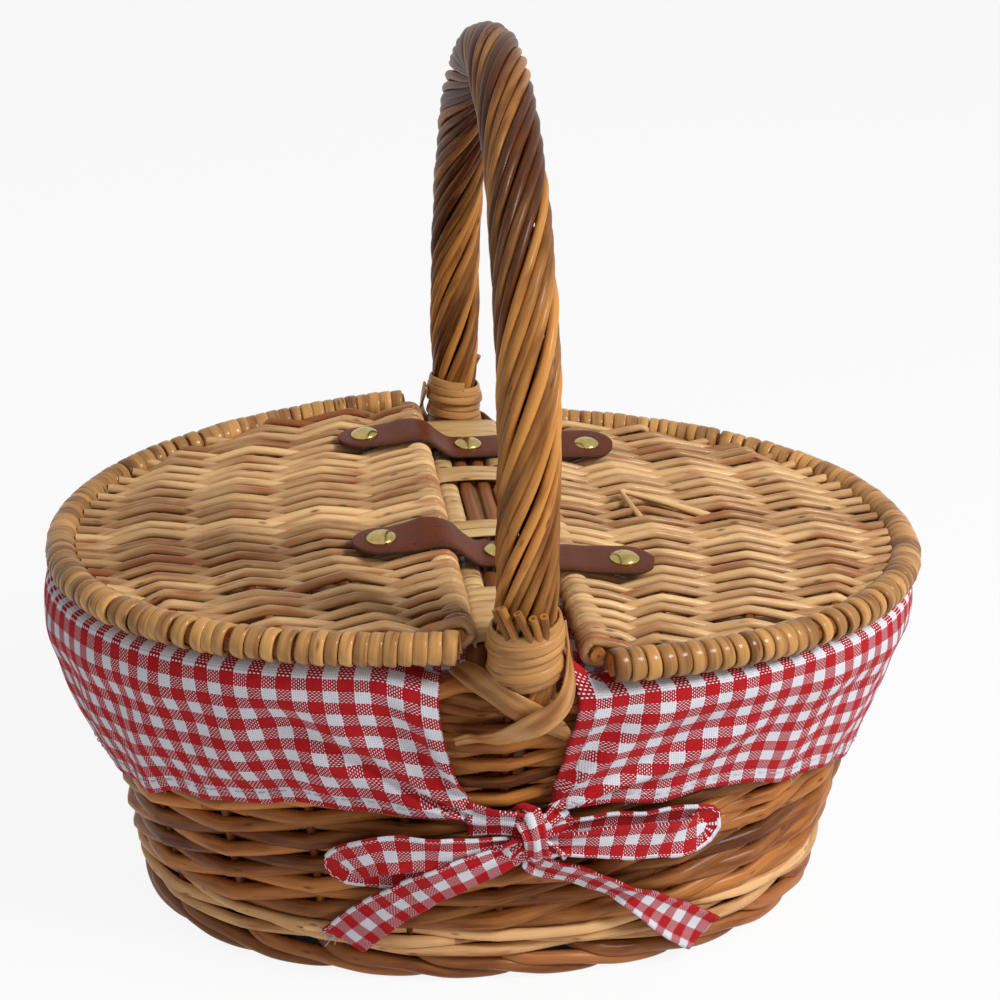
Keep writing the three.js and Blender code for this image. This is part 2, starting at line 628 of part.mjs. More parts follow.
// Skirts: the liner's outer flaps, hanging round the left and the right end in soft folds
const skirtTop = rimTop - 3.1;
const skirtForms = {
  left: { hem: [81, 18], top: 28, close: 15.4, bend: 1.9, bulge: 6.6 },
  right: { hem: [86, 22], top: 18.4, close: 7.4, bend: 1.4, bulge: 2.8 },
};
for (const [side, form] of Object.entries(skirtForms)) {
  const turn = side === "right" ? 1 : -1;
  const hem = (x) => form.hem[0] - form.hem[1] * (Math.abs(x) / (rimHalfLength - 4)) ** 4;
  const opening = (v) => form.top - form.close * v ** form.bend;
  const sheet = new THREE.BoxGeometry(1, 1, 1, skirtSteps, 5, 1);
  const geometry = reshape(sheet, (s, t, w) => {
    const v = clamp01(0.5 - t);
    const edge = Math.acos((opening(v) / rimHalfLength) ** (ovalPower / 2));
    const angle = 2 * s * edge;
    const x0 = rimHalfLength * signedPower(Math.cos(angle), 2 / ovalPower);
    const z = skirtTop + (hem(x0) - skirtTop) * v;
    const ends = Math.cos(angle) ** 2;
    const bulge = (1.4 + form.bulge * ends) * Math.sin(Math.PI * Math.min(1, 0.22 + 0.72 * v));
    const fold = Math.sin(9 * angle + 2.2 * v) * (0.2 + 1.1 * v) * (1 - 0.6 * Math.abs(2 * s) ** 6);
    const down = smooth(0.06, 0.4, v);
    const line = (rimHalfLength + rimRadius + 0.8) * (1 - down) + (wallHalfLength(z) + 1.2) * down;
    const [x, y] = ovalPoint(line + bulge + fold + (w + 0.5) * clothThickness, angle);
    return [turn * x, turn * y, z + sheer(turn * x, Math.max(z, waleTop))];
  });
  piece(`skirt_${side}`, geometry, colours.gingham);
}

// Bows: a knot, two loops and two tails of the same cloth, tied over each opening of the skirt
const knotX = 3;
const knotZ = 77.5;
const knotSize = [8.4, 5.2, 8.4];
// The knot reaches a little way in between the weavers that it lies on
const knotSunk = 0.2;
const onWall = (x, z, offset) => [x, -wallFace(x, z, offset), z];
const wallNormal = (at) => {
  const a = wallHalfLength(at.z);
  const nx = Math.sign(at.x) * (Math.abs(at.x) / a) ** (ovalPower - 1) / a;
  const ny = Math.sign(at.y) * (Math.abs(at.y) / halfDepth(a)) ** (ovalPower - 1) / halfDepth(a);
  return [nx, ny, -wallFlare * Math.hypot(nx, ny)];
};
const loopShape = (() => {
  const shape = new THREE.Shape();
  shape.moveTo(0, 0.25);
  shape.bezierCurveTo(0.3, 1.0, 0.85, 1.25, 1, 0.55);
  shape.bezierCurveTo(1.08, 0.05, 0.5, 0, 0, 0);
  return shape;
})();
function bowLoop(direction, rise, reach) {
  const slab = new THREE.ExtrudeGeometry(loopShape, { depth: 1, bevelEnabled: false, curveSegments: 5 });
  return reshape(slab, (u, d, w) => {
    const x = knotX + direction * (knotSize[0] + 0.5 + reach * u);
    const spread = ribbonWidth * (0.6 + 0.55 * Math.sqrt(clamp01(u)));
    const z = knotZ + rise(u) + (w - 0.5) * spread;
    return onWall(x, z, 5.9 - 2 * u + 7 * d * (0.5 + 0.5 * u));
  });
}
function bowTail(points) {
  const path = points.map(([x, z, offset]) => onWall(x, z, offset));
  return band(path, wallNormal, (t) => ribbonWidth * (0.62 + 0.3 * t), clothThickness, 12);
}
for (const [side, group] of both) {
  const knot = new THREE.SphereGeometry(1, 12, 8);
  knot.scale(...knotSize);
  const centre = onWall(knotX, knotZ, knotSize[1] - knotSunk);
  piece(`bow_${side}_knot`, knot, colours.gingham, group).position.set(...centre);
  const leftLoop = bowLoop(-1, (u) => 1.5 - 19 * u ** 1.5, 60);
  const rightLoop = bowLoop(1, (u) => -1.5 - 7 * u ** 1.4, 59);
  piece(`bow_${side}_loop_left`, leftLoop, colours.gingham, group);
  piece(`bow_${side}_loop_right`, rightLoop, colours.gingham, group);
  const leftTail = [[-4.6, 63, 1.6], [-20, 54.5, 1.6], [-40, 41, 1.6], [-63, 18, 1.6]];
  const rightTail = [[10.6, 63.4, 1.6], [28, 55, 1.6], [50, 38.5, 1.6], [77, 11.5, 1.6]];
  piece(`bow_${side}_tail_left`, bowTail(leftTail), colours.gingham, group);
  piece(`bow_${side}_tail_right`, bowTail(rightTail), colours.gingham, group);
}

export default basket;
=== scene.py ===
# Oval wicker picnic basket: willow rods, a rope-wrapped handle, two woven lids that hinge on a
# bridge, leather straps with brass rivets, and a gingham liner tied with bows. Metres, +Z up.
import math

import bmesh
import bpy
import numpy as np
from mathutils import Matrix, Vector


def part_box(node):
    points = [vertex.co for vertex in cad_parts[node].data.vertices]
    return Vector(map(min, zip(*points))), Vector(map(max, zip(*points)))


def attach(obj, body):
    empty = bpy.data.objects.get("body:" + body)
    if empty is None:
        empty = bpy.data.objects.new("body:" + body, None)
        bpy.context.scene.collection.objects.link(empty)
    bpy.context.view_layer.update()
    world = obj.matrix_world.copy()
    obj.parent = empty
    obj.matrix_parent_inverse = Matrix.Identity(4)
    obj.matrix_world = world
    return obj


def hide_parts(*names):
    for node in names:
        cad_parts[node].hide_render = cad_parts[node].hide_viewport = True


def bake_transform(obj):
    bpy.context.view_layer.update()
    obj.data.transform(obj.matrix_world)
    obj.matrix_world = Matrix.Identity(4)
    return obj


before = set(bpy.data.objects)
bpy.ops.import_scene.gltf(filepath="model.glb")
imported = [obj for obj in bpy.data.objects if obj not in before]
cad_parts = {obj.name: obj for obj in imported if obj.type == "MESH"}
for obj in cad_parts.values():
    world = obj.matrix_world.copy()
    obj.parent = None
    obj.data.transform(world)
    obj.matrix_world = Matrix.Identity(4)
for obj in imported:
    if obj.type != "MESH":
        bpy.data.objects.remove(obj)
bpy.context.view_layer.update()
bpy.ops.object.select_all(action="DESELECT")

# Wall
# The wall of the body is French randing: 22 upright stakes and as many long brown weavers. Each weaver
# passes in front of one stake and behind the next and climbs a row at every stake, nearly straight
# between them, so that the kinks stand in columns.
OVAL = 2.1  # the power of the oval: 2 is an ellipse
OVAL_STEP = 0.0485  # how much less the oval's half depth is than its half length
INNER_OVAL = 0.12  # ovals smaller than this one keep its proportions
STAKES, ROWS = 22, 22
STAKE_SHIFT = 0.4  # from the basket's right end to the first stake, in stake spacings
WALL_FOOT, WALL_FLARE = 0.138, 0.195  # half the wall's length at the floor, and its gain with height
WALL_INNER = -0.0099  # the weave's inner face, from its outer face
WALE_TOP, WEAVE_FOOT, WEAVE_HEIGHT = 0.025, 0.0253, 0.1014
RIM_TOP = 0.1394  # the top of the border beside the handle
UNDER_LID = 0.0087  # from a lid's middle plane down to the top of the border
# Where each closed lid lies: its hinge, and how much it falls for its length
LIDS = {
    "lid_left": {"side": -1, "hinge_x": 0.022, "hinge_z": 0.159, "slope": 0.0594},
    "lid_right": {"side": 1, "hinge_x": 0.027, "hinge_z": 0.1495, "slope": 0.031},
}
rng = np.random.default_rng(12)


def unit(v):
    return v / (np.linalg.norm(v, axis=1)[:, None] + 1e-12)


def length_along(points):
    """The length from the first point of a path to each of its points."""
    return np.concatenate([[0], np.cumsum(np.linalg.norm(np.diff(points, axis=0), axis=1))])


def eased(t, start, end):
    """0 up to the start, 1 from the end on, and a soft rise between them."""
    t = np.clip((t - start) / (end - start), 0, 1)
    return t * t * (3 - 2 * t)


def signed_power(wave, power):
    return np.sign(wave) * np.abs(wave) ** power


def half_depth(a):
    return np.where(a > INNER_OVAL, a - OVAL_STEP, a * ((INNER_OVAL - OVAL_STEP) / INNER_OVAL))


def oval(a, angle):
    """A point of the oval ring of half length a, as x and y."""
    x, y = signed_power(np.cos(angle), 2 / OVAL), signed_power(np.sin(angle), 2 / OVAL)
    return a * x, half_depth(a) * y


def wall_line(z):
    return WALL_FOOT + WALL_FLARE * z


def lid_height(name, x):
    """The height of a closed lid's middle plane."""
    lid = LIDS[name]
    return lid["hinge_z"] - lid["slope"] * (np.abs(x) - lid["hinge_x"])


def rim_height(x):
    """The rim follows the two lids and dips where the handle comes down."""
    under_lid = np.where(x < 0, lid_height("lid_left", x), lid_height("lid_right", x)) - UNDER_LID
    t = eased(np.abs(x), 0.014, 0.058)
    return RIM_TOP * (1 - t) + under_lid * t


def sheer(x, z):
    """How far a point of the level wall is lifted to follow the rim."""
    return (rim_height(x) - RIM_TOP) * np.clip((z - WALE_TOP) / 0.1024, 0, 1)


# The length along the ring near the wall's top, by the eighth of a degree
fine_angle = np.linspace(0, 2 * np.pi, 2881)
fine_arc = length_along(np.stack(oval(0.150, fine_angle), 1))


def angle_at(share):
    """The oval's angle after a share of the way round, measured along the ring."""
    whole = np.floor(share)
    return 2 * np.pi * whole + np.interp((share - whole) * fine_arc[-1], fine_arc, fine_angle)


def on_wall(angle, z, out):
    """A point at a height of the wall, a distance outside its outer face, lifted with the rim."""
    x, y = oval(wall_line(z) + out, angle)
    return np.stack([x, y, z + sheer(x, z)], 1)


def smooth_line(points, step):
    """A path through the points (Catmull-Rom), with a point at about every step."""
    p = np.asarray(points, float)
    p = np.vstack([2 * p[0] - p[1], p, 2 * p[-1] - p[-2]])
    out = []
    for a, b, c, d in zip(p[:-3], p[1:-2], p[2:-1], p[3:]):
        n = max(2, int(round(np.linalg.norm(c - b) / step)))
        for t in np.arange(n) / n:
            out.append(0.5 * (2 * b + (c - a) * t + (2 * a - 5 * b + 4 * c - d) * t * t
                              + (3 * b - a - 3 * c + d) * t ** 3))
    return np.array(out + [p[-2]])


class Bundle:
    """Willow lengths that share one mesh. Each keeps its own tone, and the coordinates of the
    straight rod that it was, so that its grain runs along it round every bend."""

    def __init__(self, sides):
        self.sides, self.verts, self.faces = sides, [], []
        self.grain, self.tone, self.cut, self.count, self.laid = [], [], [], 0, 0

    def lay(self, points, width, thick=None, up=(0, 0, 1), tone=0.5, square=1.0, caps=True, wobble=0.04):
        """Adds one length along a path. A thickness makes it flat, with its broad side facing up,
        and a power below 1 squares it. Tone runs from its palest colour, 0, to its deepest, 1."""
        p = np.asarray(points, float)
        n = len(p)
        thick = width if thick is None else thick
        width, thick = np.broadcast_to(width, n) / 2, np.broadcast_to(thick, n) / 2
        along = unit(np.gradient(p, axis=0))
        up = np.broadcast_to(np.asarray(up, float), (n, 3))
        up = unit(up - along * np.sum(up * along, 1)[:, None])
        side = np.cross(up, along)
        length = length_along(p)
        lumps = np.sin(length * 130 + rng.uniform(0, 6)) * np.sin(length * 47 + rng.uniform(0, 6))
        lumps = 1 + wobble * lumps
        turn = 2 * np.pi * (np.arange(self.sides) + 0.5) / self.sides
        c, s = signed_power(np.cos(turn), square), signed_power(np.sin(turn), square)
        ring = (p[:, None] + side[:, None] * (width * lumps)[:, None, None] * c[None, :, None]
                + up[:, None] * (thick * lumps)[:, None, None] * s[None, :, None])
        grain = np.empty((n, self.sides, 3))
        grain[..., 0] = length[:, None] + 1.37 * self.laid
        grain[..., 1] = width.mean() * c
        grain[..., 2] = thick.mean() * s
        first = self.count
        self.verts.append(ring.reshape(-1, 3))
        self.grain.append(grain.reshape(-1, 3))
        k = np.arange(self.sides)
        after = (k + 1) % self.sides
        for i in range(n - 1):
            a, b = first + i * self.sides, first + (i + 1) * self.sides
            self.faces += np.stack([a + k, a + after, b + after, b + k], 1).tolist()
        size = n * self.sides
        if caps:
            for j, order in ((0, k[::-1]), (n - 1, k)):
                self.verts.append(ring[j])
                self.grain.append(grain[j])
                self.faces.append((first + size + order).tolist())
                size += self.sides
        tones = np.repeat(np.broadcast_to(tone, n), self.sides)
        if caps:
            tones = np.concatenate([tones, tones[:self.sides], tones[-self.sides:]])
        self.tone.append(tones)
        cut = np.zeros(size)
        cut[n * self.sides:] = 1
        self.cut.append(cut)
        self.count += size
        self.laid += 1

    def make(self, name, material, body, slot, *nodes):
        mesh = bpy.data.meshes.new(name)
        mesh.from_pydata(np.concatenate(self.verts).tolist(), [], self.faces)
        for key, kind, data in (("grain", "FLOAT_VECTOR", np.concatenate(self.grain)),
                                ("tone", "FLOAT", np.concatenate(self.tone)),
                                ("cut", "FLOAT", np.concatenate(self.cut))):
            layer = mesh.attributes.new(key, kind, "POINT")
            field = "vector" if kind == "FLOAT_VECTOR" else "value"
            layer.data.foreach_set(field, data.astype(np.float32).ravel())
        mesh.polygons.foreach_set("use_smooth", [len(f) == 4 for f in self.faces])
        return placed_piece(name, mesh, material, body, slot, *nodes)


def placed_piece(name, mesh, material, body, slot, *nodes):
    """A mesh as a piece of the object: on its body and in the place of its nodes. Its slot is not used."""
    obj = bpy.data.objects.new(name, mesh)
    bpy.context.collection.objects.link(obj)
    mesh.materials.append(material)
    joined_on(obj, body, slot, *nodes)
    return obj


def joined_on(obj, body, slot, *nodes):
    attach(obj, body)
    if nodes:
        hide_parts(*nodes)


def link(tree, a, b):
    tree.links.new(a, b)


def node(tree, kind, **settings):
    """A shader node. Settings are its properties, or its inputs by number or name."""
    made = tree.nodes.new(kind)
    for key, setting in settings.items():
        if key != "inputs":
            setattr(made, key, setting)
    for key, given in settings.get("inputs", {}).items():
        if isinstance(given, bpy.types.NodeSocket):
            link(tree, given, made.inputs[key])
        else:
            made.inputs[key].default_value = given
    return made


def value(tree, operation, *inputs, clamp=False):
    inputs = dict(enumerate(inputs))
    return node(tree, "ShaderNodeMath", operation=operation, use_clamp=clamp, inputs=inputs).outputs[0]


def mixed(tree, amount, a, b):
    return node(tree, "ShaderNodeMix", data_type="RGBA", inputs={0: amount, 6: a, 7: b}).outputs[2]


def noise(tree, where, scale, detail, roughness=0.5, output="Fac"):
    return node(tree, "ShaderNodeTexNoise", inputs={
        "Vector": where, "Scale": scale, "Detail": detail, "Roughness": roughness}).outputs[output]


def ramp(tree, amount, low, high, at_low, at_high):
    """From one value to another as the amount goes from low to high."""
    made = node(tree, "ShaderNodeMapRange", clamp=True, inputs={
        "Value": amount, "From Min": low, "From Max": high, "To Min": at_low, "To Max": at_high})
    return made.outputs["Result"]


def stretched(tree, where, scale):
    return node(tree, "ShaderNodeVectorMath", operation="MULTIPLY", inputs={0: where, 1: scale}).outputs[0]


def bumped(tree, shader, height, strength, distance):
    bump = node(tree, "ShaderNodeBump", inputs={
        "Strength": strength, "Distance": distance, "Height": height})
    link(tree, bump.outputs["Normal"], shader.inputs["Normal"])


def new_material(name, **constants):
    """A material, its tree and its shader. Constants are inputs of the shader, such as Coat_Weight."""
    made = bpy.data.materials.new(name)
    made.use_nodes = True
    shader = made.node_tree.nodes["Principled BSDF"]
    for key, constant in constants.items():
        shader.inputs[key.replace("_", " ")].default_value = constant
    return made, made.node_tree, shader


def srgb(r, g, b):
    """A colour written as 0 to 255 on a screen, as the linear values that a shader takes."""
    shares = [c / 255 for c in (r, g, b)]
    return (*[c / 12.92 if c <= 0.04045 else ((c + 0.055) / 1.055) ** 2.4 for c in shares], 1.0)


def new_group(name, inputs, outputs):
    group = bpy.data.node_groups.new(name, "ShaderNodeTree")
    for way, sockets in (("INPUT", inputs), ("OUTPUT", outputs)):
        for label, kind in sockets.items():
            group.interface.new_socket(label, in_out=way, socket_type=f"NodeSocket{kind}")
    return group, group.nodes.new("NodeGroupInput"), group.nodes.new("NodeGroupOutput")


def willow_grain():
    """The skin of a peeled and varnished willow rod: long streaks, blotches where the varnish has
    gathered, dark bud scars, and growth rings on a cut end."""
    g, given, out = new_group("Willow grain",
                              {"Pale": "Color", "Deep": "Color", "Red": "Color", "Spread": "Float"},
                              {"Color": "Color", "Roughness": "Float", "Height": "Float"})
    grain = node(g, "ShaderNodeAttribute", attribute_name="grain").outputs["Vector"]
    tone = node(g, "ShaderNodeAttribute", attribute_name="tone").outputs["Fac"]
    cut = node(g, "ShaderNodeAttribute", attribute_name="cut").outputs["Fac"]
    streak = noise(g, stretched(g, grain, (55, 1500, 1500)), 1.0, 3.0, 0.6)
    blotch = noise(g, stretched(g, grain, (42, 260, 260)), 1.0, 2.0)
    buds = node(g, "ShaderNodeTexVoronoi", inputs={
        "Vector": stretched(g, grain, (62, 210, 210)), "Scale": 1.0})
    scar_at = ramp(g, buds.outputs["Distance"], 0.05, 0.16, 1.0, 0.0)
    rings = node(g, "ShaderNodeVectorMath", operation="LENGTH",
                 inputs={0: stretched(g, grain, (0, 1, 1))}).outputs["Value"]
    ring = value(g, "SINE", value(g, "MULTIPLY", rings, 9000.0))
    pith = ramp(g, rings, 0.0004, 0.0009, 0.75, 0.0)
    spread = value(g, "MULTIPLY_ADD", value(g, "SUBTRACT", blotch, 0.5), given.outputs["Spread"], tone)
    shade = value(g, "MULTIPLY_ADD", value(g, "SUBTRACT", streak, 0.5), 0.55, spread, clamp=True)
    body = mixed(g, shade, given.outputs["Pale"], given.outputs["Deep"])
    body = mixed(g, ramp(g, blotch, 0.54, 0.72, 0.0, 0.65), body, given.outputs["Red"])
    body = mixed(g, value(g, "MULTIPLY", scar_at, 0.75), body, srgb(70, 38, 18))
    end = mixed(g, value(g, "MULTIPLY_ADD", ring, 0.15, 0.25), given.outputs["Pale"], given.outputs["Deep"])
    end = mixed(g, pith, end, srgb(84, 52, 28))
    link(g, mixed(g, cut, body, end), out.inputs["Color"])
    rough = value(g, "MULTIPLY_ADD", streak, 0.24, 0.3)
    link(g, value(g, "MULTIPLY_ADD", cut, 0.25, rough), out.inputs["Roughness"])
    height = value(g, "MULTIPLY_ADD", streak, 0.5, value(g, "MULTIPLY", blotch, 0.5))
    link(g, value(g, "MULTIPLY_ADD", scar_at, 0.6, height), out.inputs["Height"])
    return g


WILLOW = willow_grain()


def willow(name, pale, deep, red, spread=1.0, coat=0.1):
    """Varnished willow of one batch: its palest, its deepest and its reddest colour."""
    made, tree, shader = new_material(name, Coat_Weight=coat, Coat_Roughness=0.12, Specular_IOR_Level=0.12)
    skin = node(tree, "ShaderNodeGroup", node_tree=WILLOW, inputs={
        "Pale": srgb(*pale), "Deep": srgb(*deep), "Red": srgb(*red), "Spread": spread})
    link(tree, skin.outputs["Color"], shader.inputs["Base Color"])
    link(tree, skin.outputs["Roughness"], shader.inputs["Roughness"])
    bumped(tree, shader, skin.outputs["Height"], 0.8, 0.00022)
    return made


BODY_WILLOW = willow("brown body willow", (206, 132, 66), (78, 36, 10), (126, 52, 16))


def row_height(level):
    """The height of a row of the weave. Low down the rods are thicker and lie further apart."""
    t = level / ROWS
    return WEAVE_FOOT + WEAVE_HEIGHT * t * (1 + 0.22 * (1 - t))


# Each weaver is three rods, joined at two rows. Its points lie closer together beside the stakes,
# where it kinks: from 1, in front of the stake, to -1, behind it.
wall_rods = Bundle(10)
beats = np.array([0, 0.025, 0.08, 0.25, 0.42, 0.58, 0.75, 0.92, 0.975])
for weaver in range(STAKES):
    joins = [0, 2 * rng.integers(2, 5), 2 * rng.integers(6, 9), ROWS]
    for low, high in zip(joins[:-1], joins[1:]):
        level = np.concatenate([n + beats for n in range(low, high)] + [[high]])
        level = np.concatenate([[low - 0.3], level, [high + 0.3]])
        kink = 1 - 2 * np.abs(level % 2 - 1)
        kink = 0.93 * kink + 0.07 * np.sin(kink * np.pi / 2)
        size = 1.2 * np.maximum(row_height(level + 0.5) - row_height(level - 0.5), 0.0040)
        size = size * rng.uniform(0.93, 1.07) * np.linspace(1.04, 0.96, len(level))
        proud = 0.0005 + 0.0005 * rng.uniform(-1, 1)
        depth = (proud - size / 2) * (1 + kink) / 2 + (WALL_INNER + size / 2) * (1 - kink) / 2
        drift = 0.0003 * np.sin(level * 1.7 + rng.uniform(0, 6)) + 0.0003 * rng.normal()
        z = np.clip(row_height(level) + drift - 0.0011 * kink, 0.0272, 0.1252)
        angle = angle_at((weaver + level + 0.02 * rng.normal() + STAKE_SHIFT) / STAKES)
        wall_rods.lay(on_wall(angle, z, depth), size, tone=float(np.clip(rng.normal(0.5, 0.26), 0, 1)))
wall_rods.make("wall_weavers", BODY_WILLOW, "basket", "body_willow", "side_weave")

STAKE_SIZE, STAKE_DEPTH, STAKE_ENDS = 0.0040, -0.0054, (0.010, 0.1262)
wall_stakes = Bundle(8)
for k in range(STAKES):
    z = np.linspace(*STAKE_ENDS, 12)
    angle = angle_at(np.full(12, (k + STAKE_SHIFT) / STAKES))
    facing = np.stack([np.cos(angle), np.sin(angle), 0 * z], 1)
    # The stakes take the deepest tones, as painted shade for where they show between the weavers.
    wall_stakes.lay(on_wall(angle, z, STAKE_DEPTH), STAKE_SIZE, up=facing, tone=rng.uniform(0.8, 1.0))
wall_stakes.make("wall_stakes", BODY_WILLOW, "basket", "body_willow")

# Wale
# Three rows of paler, thicker rods in a three-rod wale lock the foot of the stakes. Each rod goes in
# front of two stakes and behind one.
PALE_WILLOW = willow("honey willow", (238, 188, 130), (136, 82, 40), (166, 96, 52), coat=0.12)
WALE_FOOT, WALE_ROW, WALE_SIZE = 0.0153, 0.0039, 0.0047
wale = Bundle(8)
for row in range(3):
    for part in range(3):
        s = np.arange(part * STAKES * 2 - 5, (part + 1) * STAKES * 2 + 6) / 6
        wave = np.interp((s + row) % 3, [0, 1, 2, 3], [1, 1, -1, 1])
        wave = 0.7 * wave + 0.3 * np.sin(wave * np.pi / 2)
        z = WALE_FOOT + WALE_ROW * row + 0.0004 * np.sin(s + row) - 0.0004 * wave
        angle = angle_at((s + STAKE_SHIFT) / STAKES)
        wale.lay(on_wall(angle, z, -0.0040 + 0.0024 * wave), WALE_SIZE * rng.uniform(0.95, 1.08),
                 tone=rng.uniform(0.05, 0.45))
wale.make("wale_rods", PALE_WILLOW, "basket", "pale_willow", "lower_wale")

# Foot border
# The stakes' lower ends turn sideways into a border that the basket stands on: each comes out with a
# knuckle, sweeps to the right in front of the next two and is tucked in at the bottom. Dark grey
# lining of the base shows in the gaps.
FOOT_WILLOW = willow("foot willow", (180, 114, 64), (78, 38, 14), (120, 54, 24))
FOOT_REACH, FOOT_SIZE = 0.133, 0.0060
RING_SCALE = 0.03  # about the length between two stakes, for even steps along a path
foot = Bundle(10)
for k in range(STAKES):
    start = k + STAKE_SHIFT + 0.05 * rng.normal()
    path_s = start + np.array([-0.16, -0.03, 0.13, 0.36, 0.85, 1.15, 1.5, 2.0, 2.35])
    path_a = FOOT_REACH + np.array([-0.0042, 0.0008, 0.0036, 0.0043, 0.0044, 0.0042, 0.0034, 0.0016, -0.0036])
    path_z = np.array([0.0116, 0.0118, 0.0106, 0.0088, 0.0076, 0.0056, 0.0034, 0.0030, 0.0032])
    line = smooth_line(np.stack([path_s, path_a, path_z], 1) * [RING_SCALE, 1, 1], 0.002)
    angle = angle_at(line[:, 0] / RING_SCALE / STAKES)
    x, y = oval(line[:, 1], angle)
    size = FOOT_SIZE * np.linspace(1.06, 0.84, len(line)) * rng.uniform(0.94, 1.06)
    z = np.maximum(line[:, 2], size / 2 + 0.0001)
    foot.lay(np.stack([x, y, z], 1), size, tone=rng.uniform(0.1, 0.75))
foot.make("foot_rods", FOOT_WILLOW, "basket", "pale_willow", "foot_border")

lining, tree, shader = new_material("grey base lining", Roughness=0.9)
threads = noise(tree, node(tree, "ShaderNodeTexCoord").outputs["Object"], 900.0, 2.0)
link(tree, mixed(tree, threads, srgb(52, 56, 60), srgb(86, 92, 98)), shader.inputs["Base Color"])
LINING_SIDES = 144
ring_angle = np.linspace(0, 2 * np.pi, LINING_SIDES + 1)[:-1]
profile = [(0.0001, 0.0058), (0.1240, 0.0058), (0.1262, 0.0020), (0.1306, 0.0024), (0.1316, 0.0112),
           (0.1256, 0.0126), (0.0001, 0.0126)]
verts, faces = [], []
for a, z in profile:
    x, y = oval(np.full(LINING_SIDES, a), ring_angle)
    verts += np.stack([x, y, np.full(LINING_SIDES, z)], 1).tolist()
for first in range(0, LINING_SIDES * (len(profile) - 1), LINING_SIDES):
    for k in range(LINING_SIDES):
        a, b = first + k, first + (k + 1) % LINING_SIDES
        faces.append((a, a + LINING_SIDES, b + LINING_SIDES, b))
mesh = bpy.data.meshes.new("base_lining")
mesh.from_pydata(verts, [], faces)
# Doubles are merged, and the faces turned outwards
work = bmesh.new()
work.from_mesh(mesh)
bmesh.ops.remove_doubles(work, verts=work.verts, dist=1e-6)
bmesh.ops.dissolve_degenerate(work, dist=1e-7, edges=work.edges)
bmesh.ops.recalc_face_normals(work, faces=work.faces)
work.to_mesh(mesh)
work.free()
placed_piece("base_lining", mesh, lining, "basket", "body_willow")

# Base
# The bottom is woven too: rods along the oval over and under nine cross sticks, behind the foot.
def oval_reach(across, a, b):
    """How far an oval of half length a and half depth b reaches, at a distance from its long axis."""
    return a * np.clip(1 - (np.abs(across) / b) ** OVAL, 0, 1) ** (1 / OVAL)


BASE_ROW, BASE_LEVEL, CROSS_STEP = 0.0045, 0.0054, 0.026
base = Bundle(6)
for row in range(-17, 18):
    y = row * BASE_ROW
    reach = float(oval_reach(y, 0.1255, 0.0775)) - 0.002
    if reach < 0.02:
        continue
    x = np.linspace(-reach, reach, max(8, int(reach / 0.004)))
    z = BASE_LEVEL + 0.0010 * np.cos(np.pi * (x / CROSS_STEP + row))
    base.lay(np.stack([x, np.full(len(x), y), z], 1), 0.0044, 0.0036, tone=rng.uniform(0.2, 0.8))
base.make("base_rods", BODY_WILLOW, "basket", "body_willow", "base_weave")

# Rim
# The stakes' upper ends are rolled into a border of three twisted strands, under the cloth and lids.
RIM_REACH, RIM_MIDDLE, STRAND_OUT = 0.160, 0.1334, 0.0029
rim = Bundle(8)
for strand in range(3):
    share = np.linspace(0, 1, 361)
    angle = angle_at(share)
    spin = 2 * np.pi * (share * 14 + strand / 3)
    x, y = oval(RIM_REACH + STRAND_OUT * np.cos(spin), angle)
    # The border rises over the lashing to the right of each foot of the handle
    z = RIM_MIDDLE + STRAND_OUT * np.sin(spin) + 0.0045 * np.exp(-((np.sign(y) * x - 0.021) / 0.009) ** 2)
    rim.lay(np.stack([x, y, z + sheer(x, z)], 1), 0.0060, tone=0.35 + 0.15 * strand, caps=False)
rim.make("rim_rods", BODY_WILLOW, "basket", "body_willow", "rim_border")

# Handle
# A bow over the short axis, wrapped in fifteen varnished rods that run round it like the strands of a
# rope. Near the feet a few spare rods end above the binding, cut off square.
HANDLE_WILLOW = willow("handle willow", (206, 140, 70), (76, 38, 12), (116, 54, 18), spread=1.15)
# The bow's core is coloured near black-brown as painted shade, for where it shows between the strands and at
# the wall.
SHADE_DARK_CORE_WILLOW = willow("shade-dark handle core willow", (74, 40, 18), (44, 22, 8), (60, 28, 12), coat=0.0)
HANDLE_Y = 0.120  # from the basket's middle to a foot of the handle
HANDLE_FOOT, ARCH_FOOT, ARCH_RISE, ARCH_POWER = 0.140, 0.215, 0.1216, 2 / 1.87
half_turn = np.linspace(0, np.pi, 181)
arch = np.stack([-HANDLE_Y * signed_power(np.cos(half_turn), ARCH_POWER),
                 ARCH_FOOT + ARCH_RISE * signed_power(np.sin(half_turn), ARCH_POWER)], 1)
leg = np.stack([np.full(26, -HANDLE_Y), np.linspace(HANDLE_FOOT, ARCH_FOOT - 0.0002, 26)], 1)
bow = np.concatenate([leg, arch, leg[::-1] * [-1, 1]])
bow_arc = length_along(bow)
arc = np.linspace(0, bow_arc[-1], 170)
centre = np.stack([0 * arc, np.interp(arc, bow_arc, bow[:, 0]), np.interp(arc, bow_arc, bow[:, 1])], 1)
for _ in range(3):
    centre[1:-1] = (centre[:-2] + 2 * centre[1:-1] + centre[2:]) / 4
across = np.broadcast_to([1.0, 0, 0], centre.shape)
outwards = np.cross(across, unit(np.gradient(centre, axis=0)))

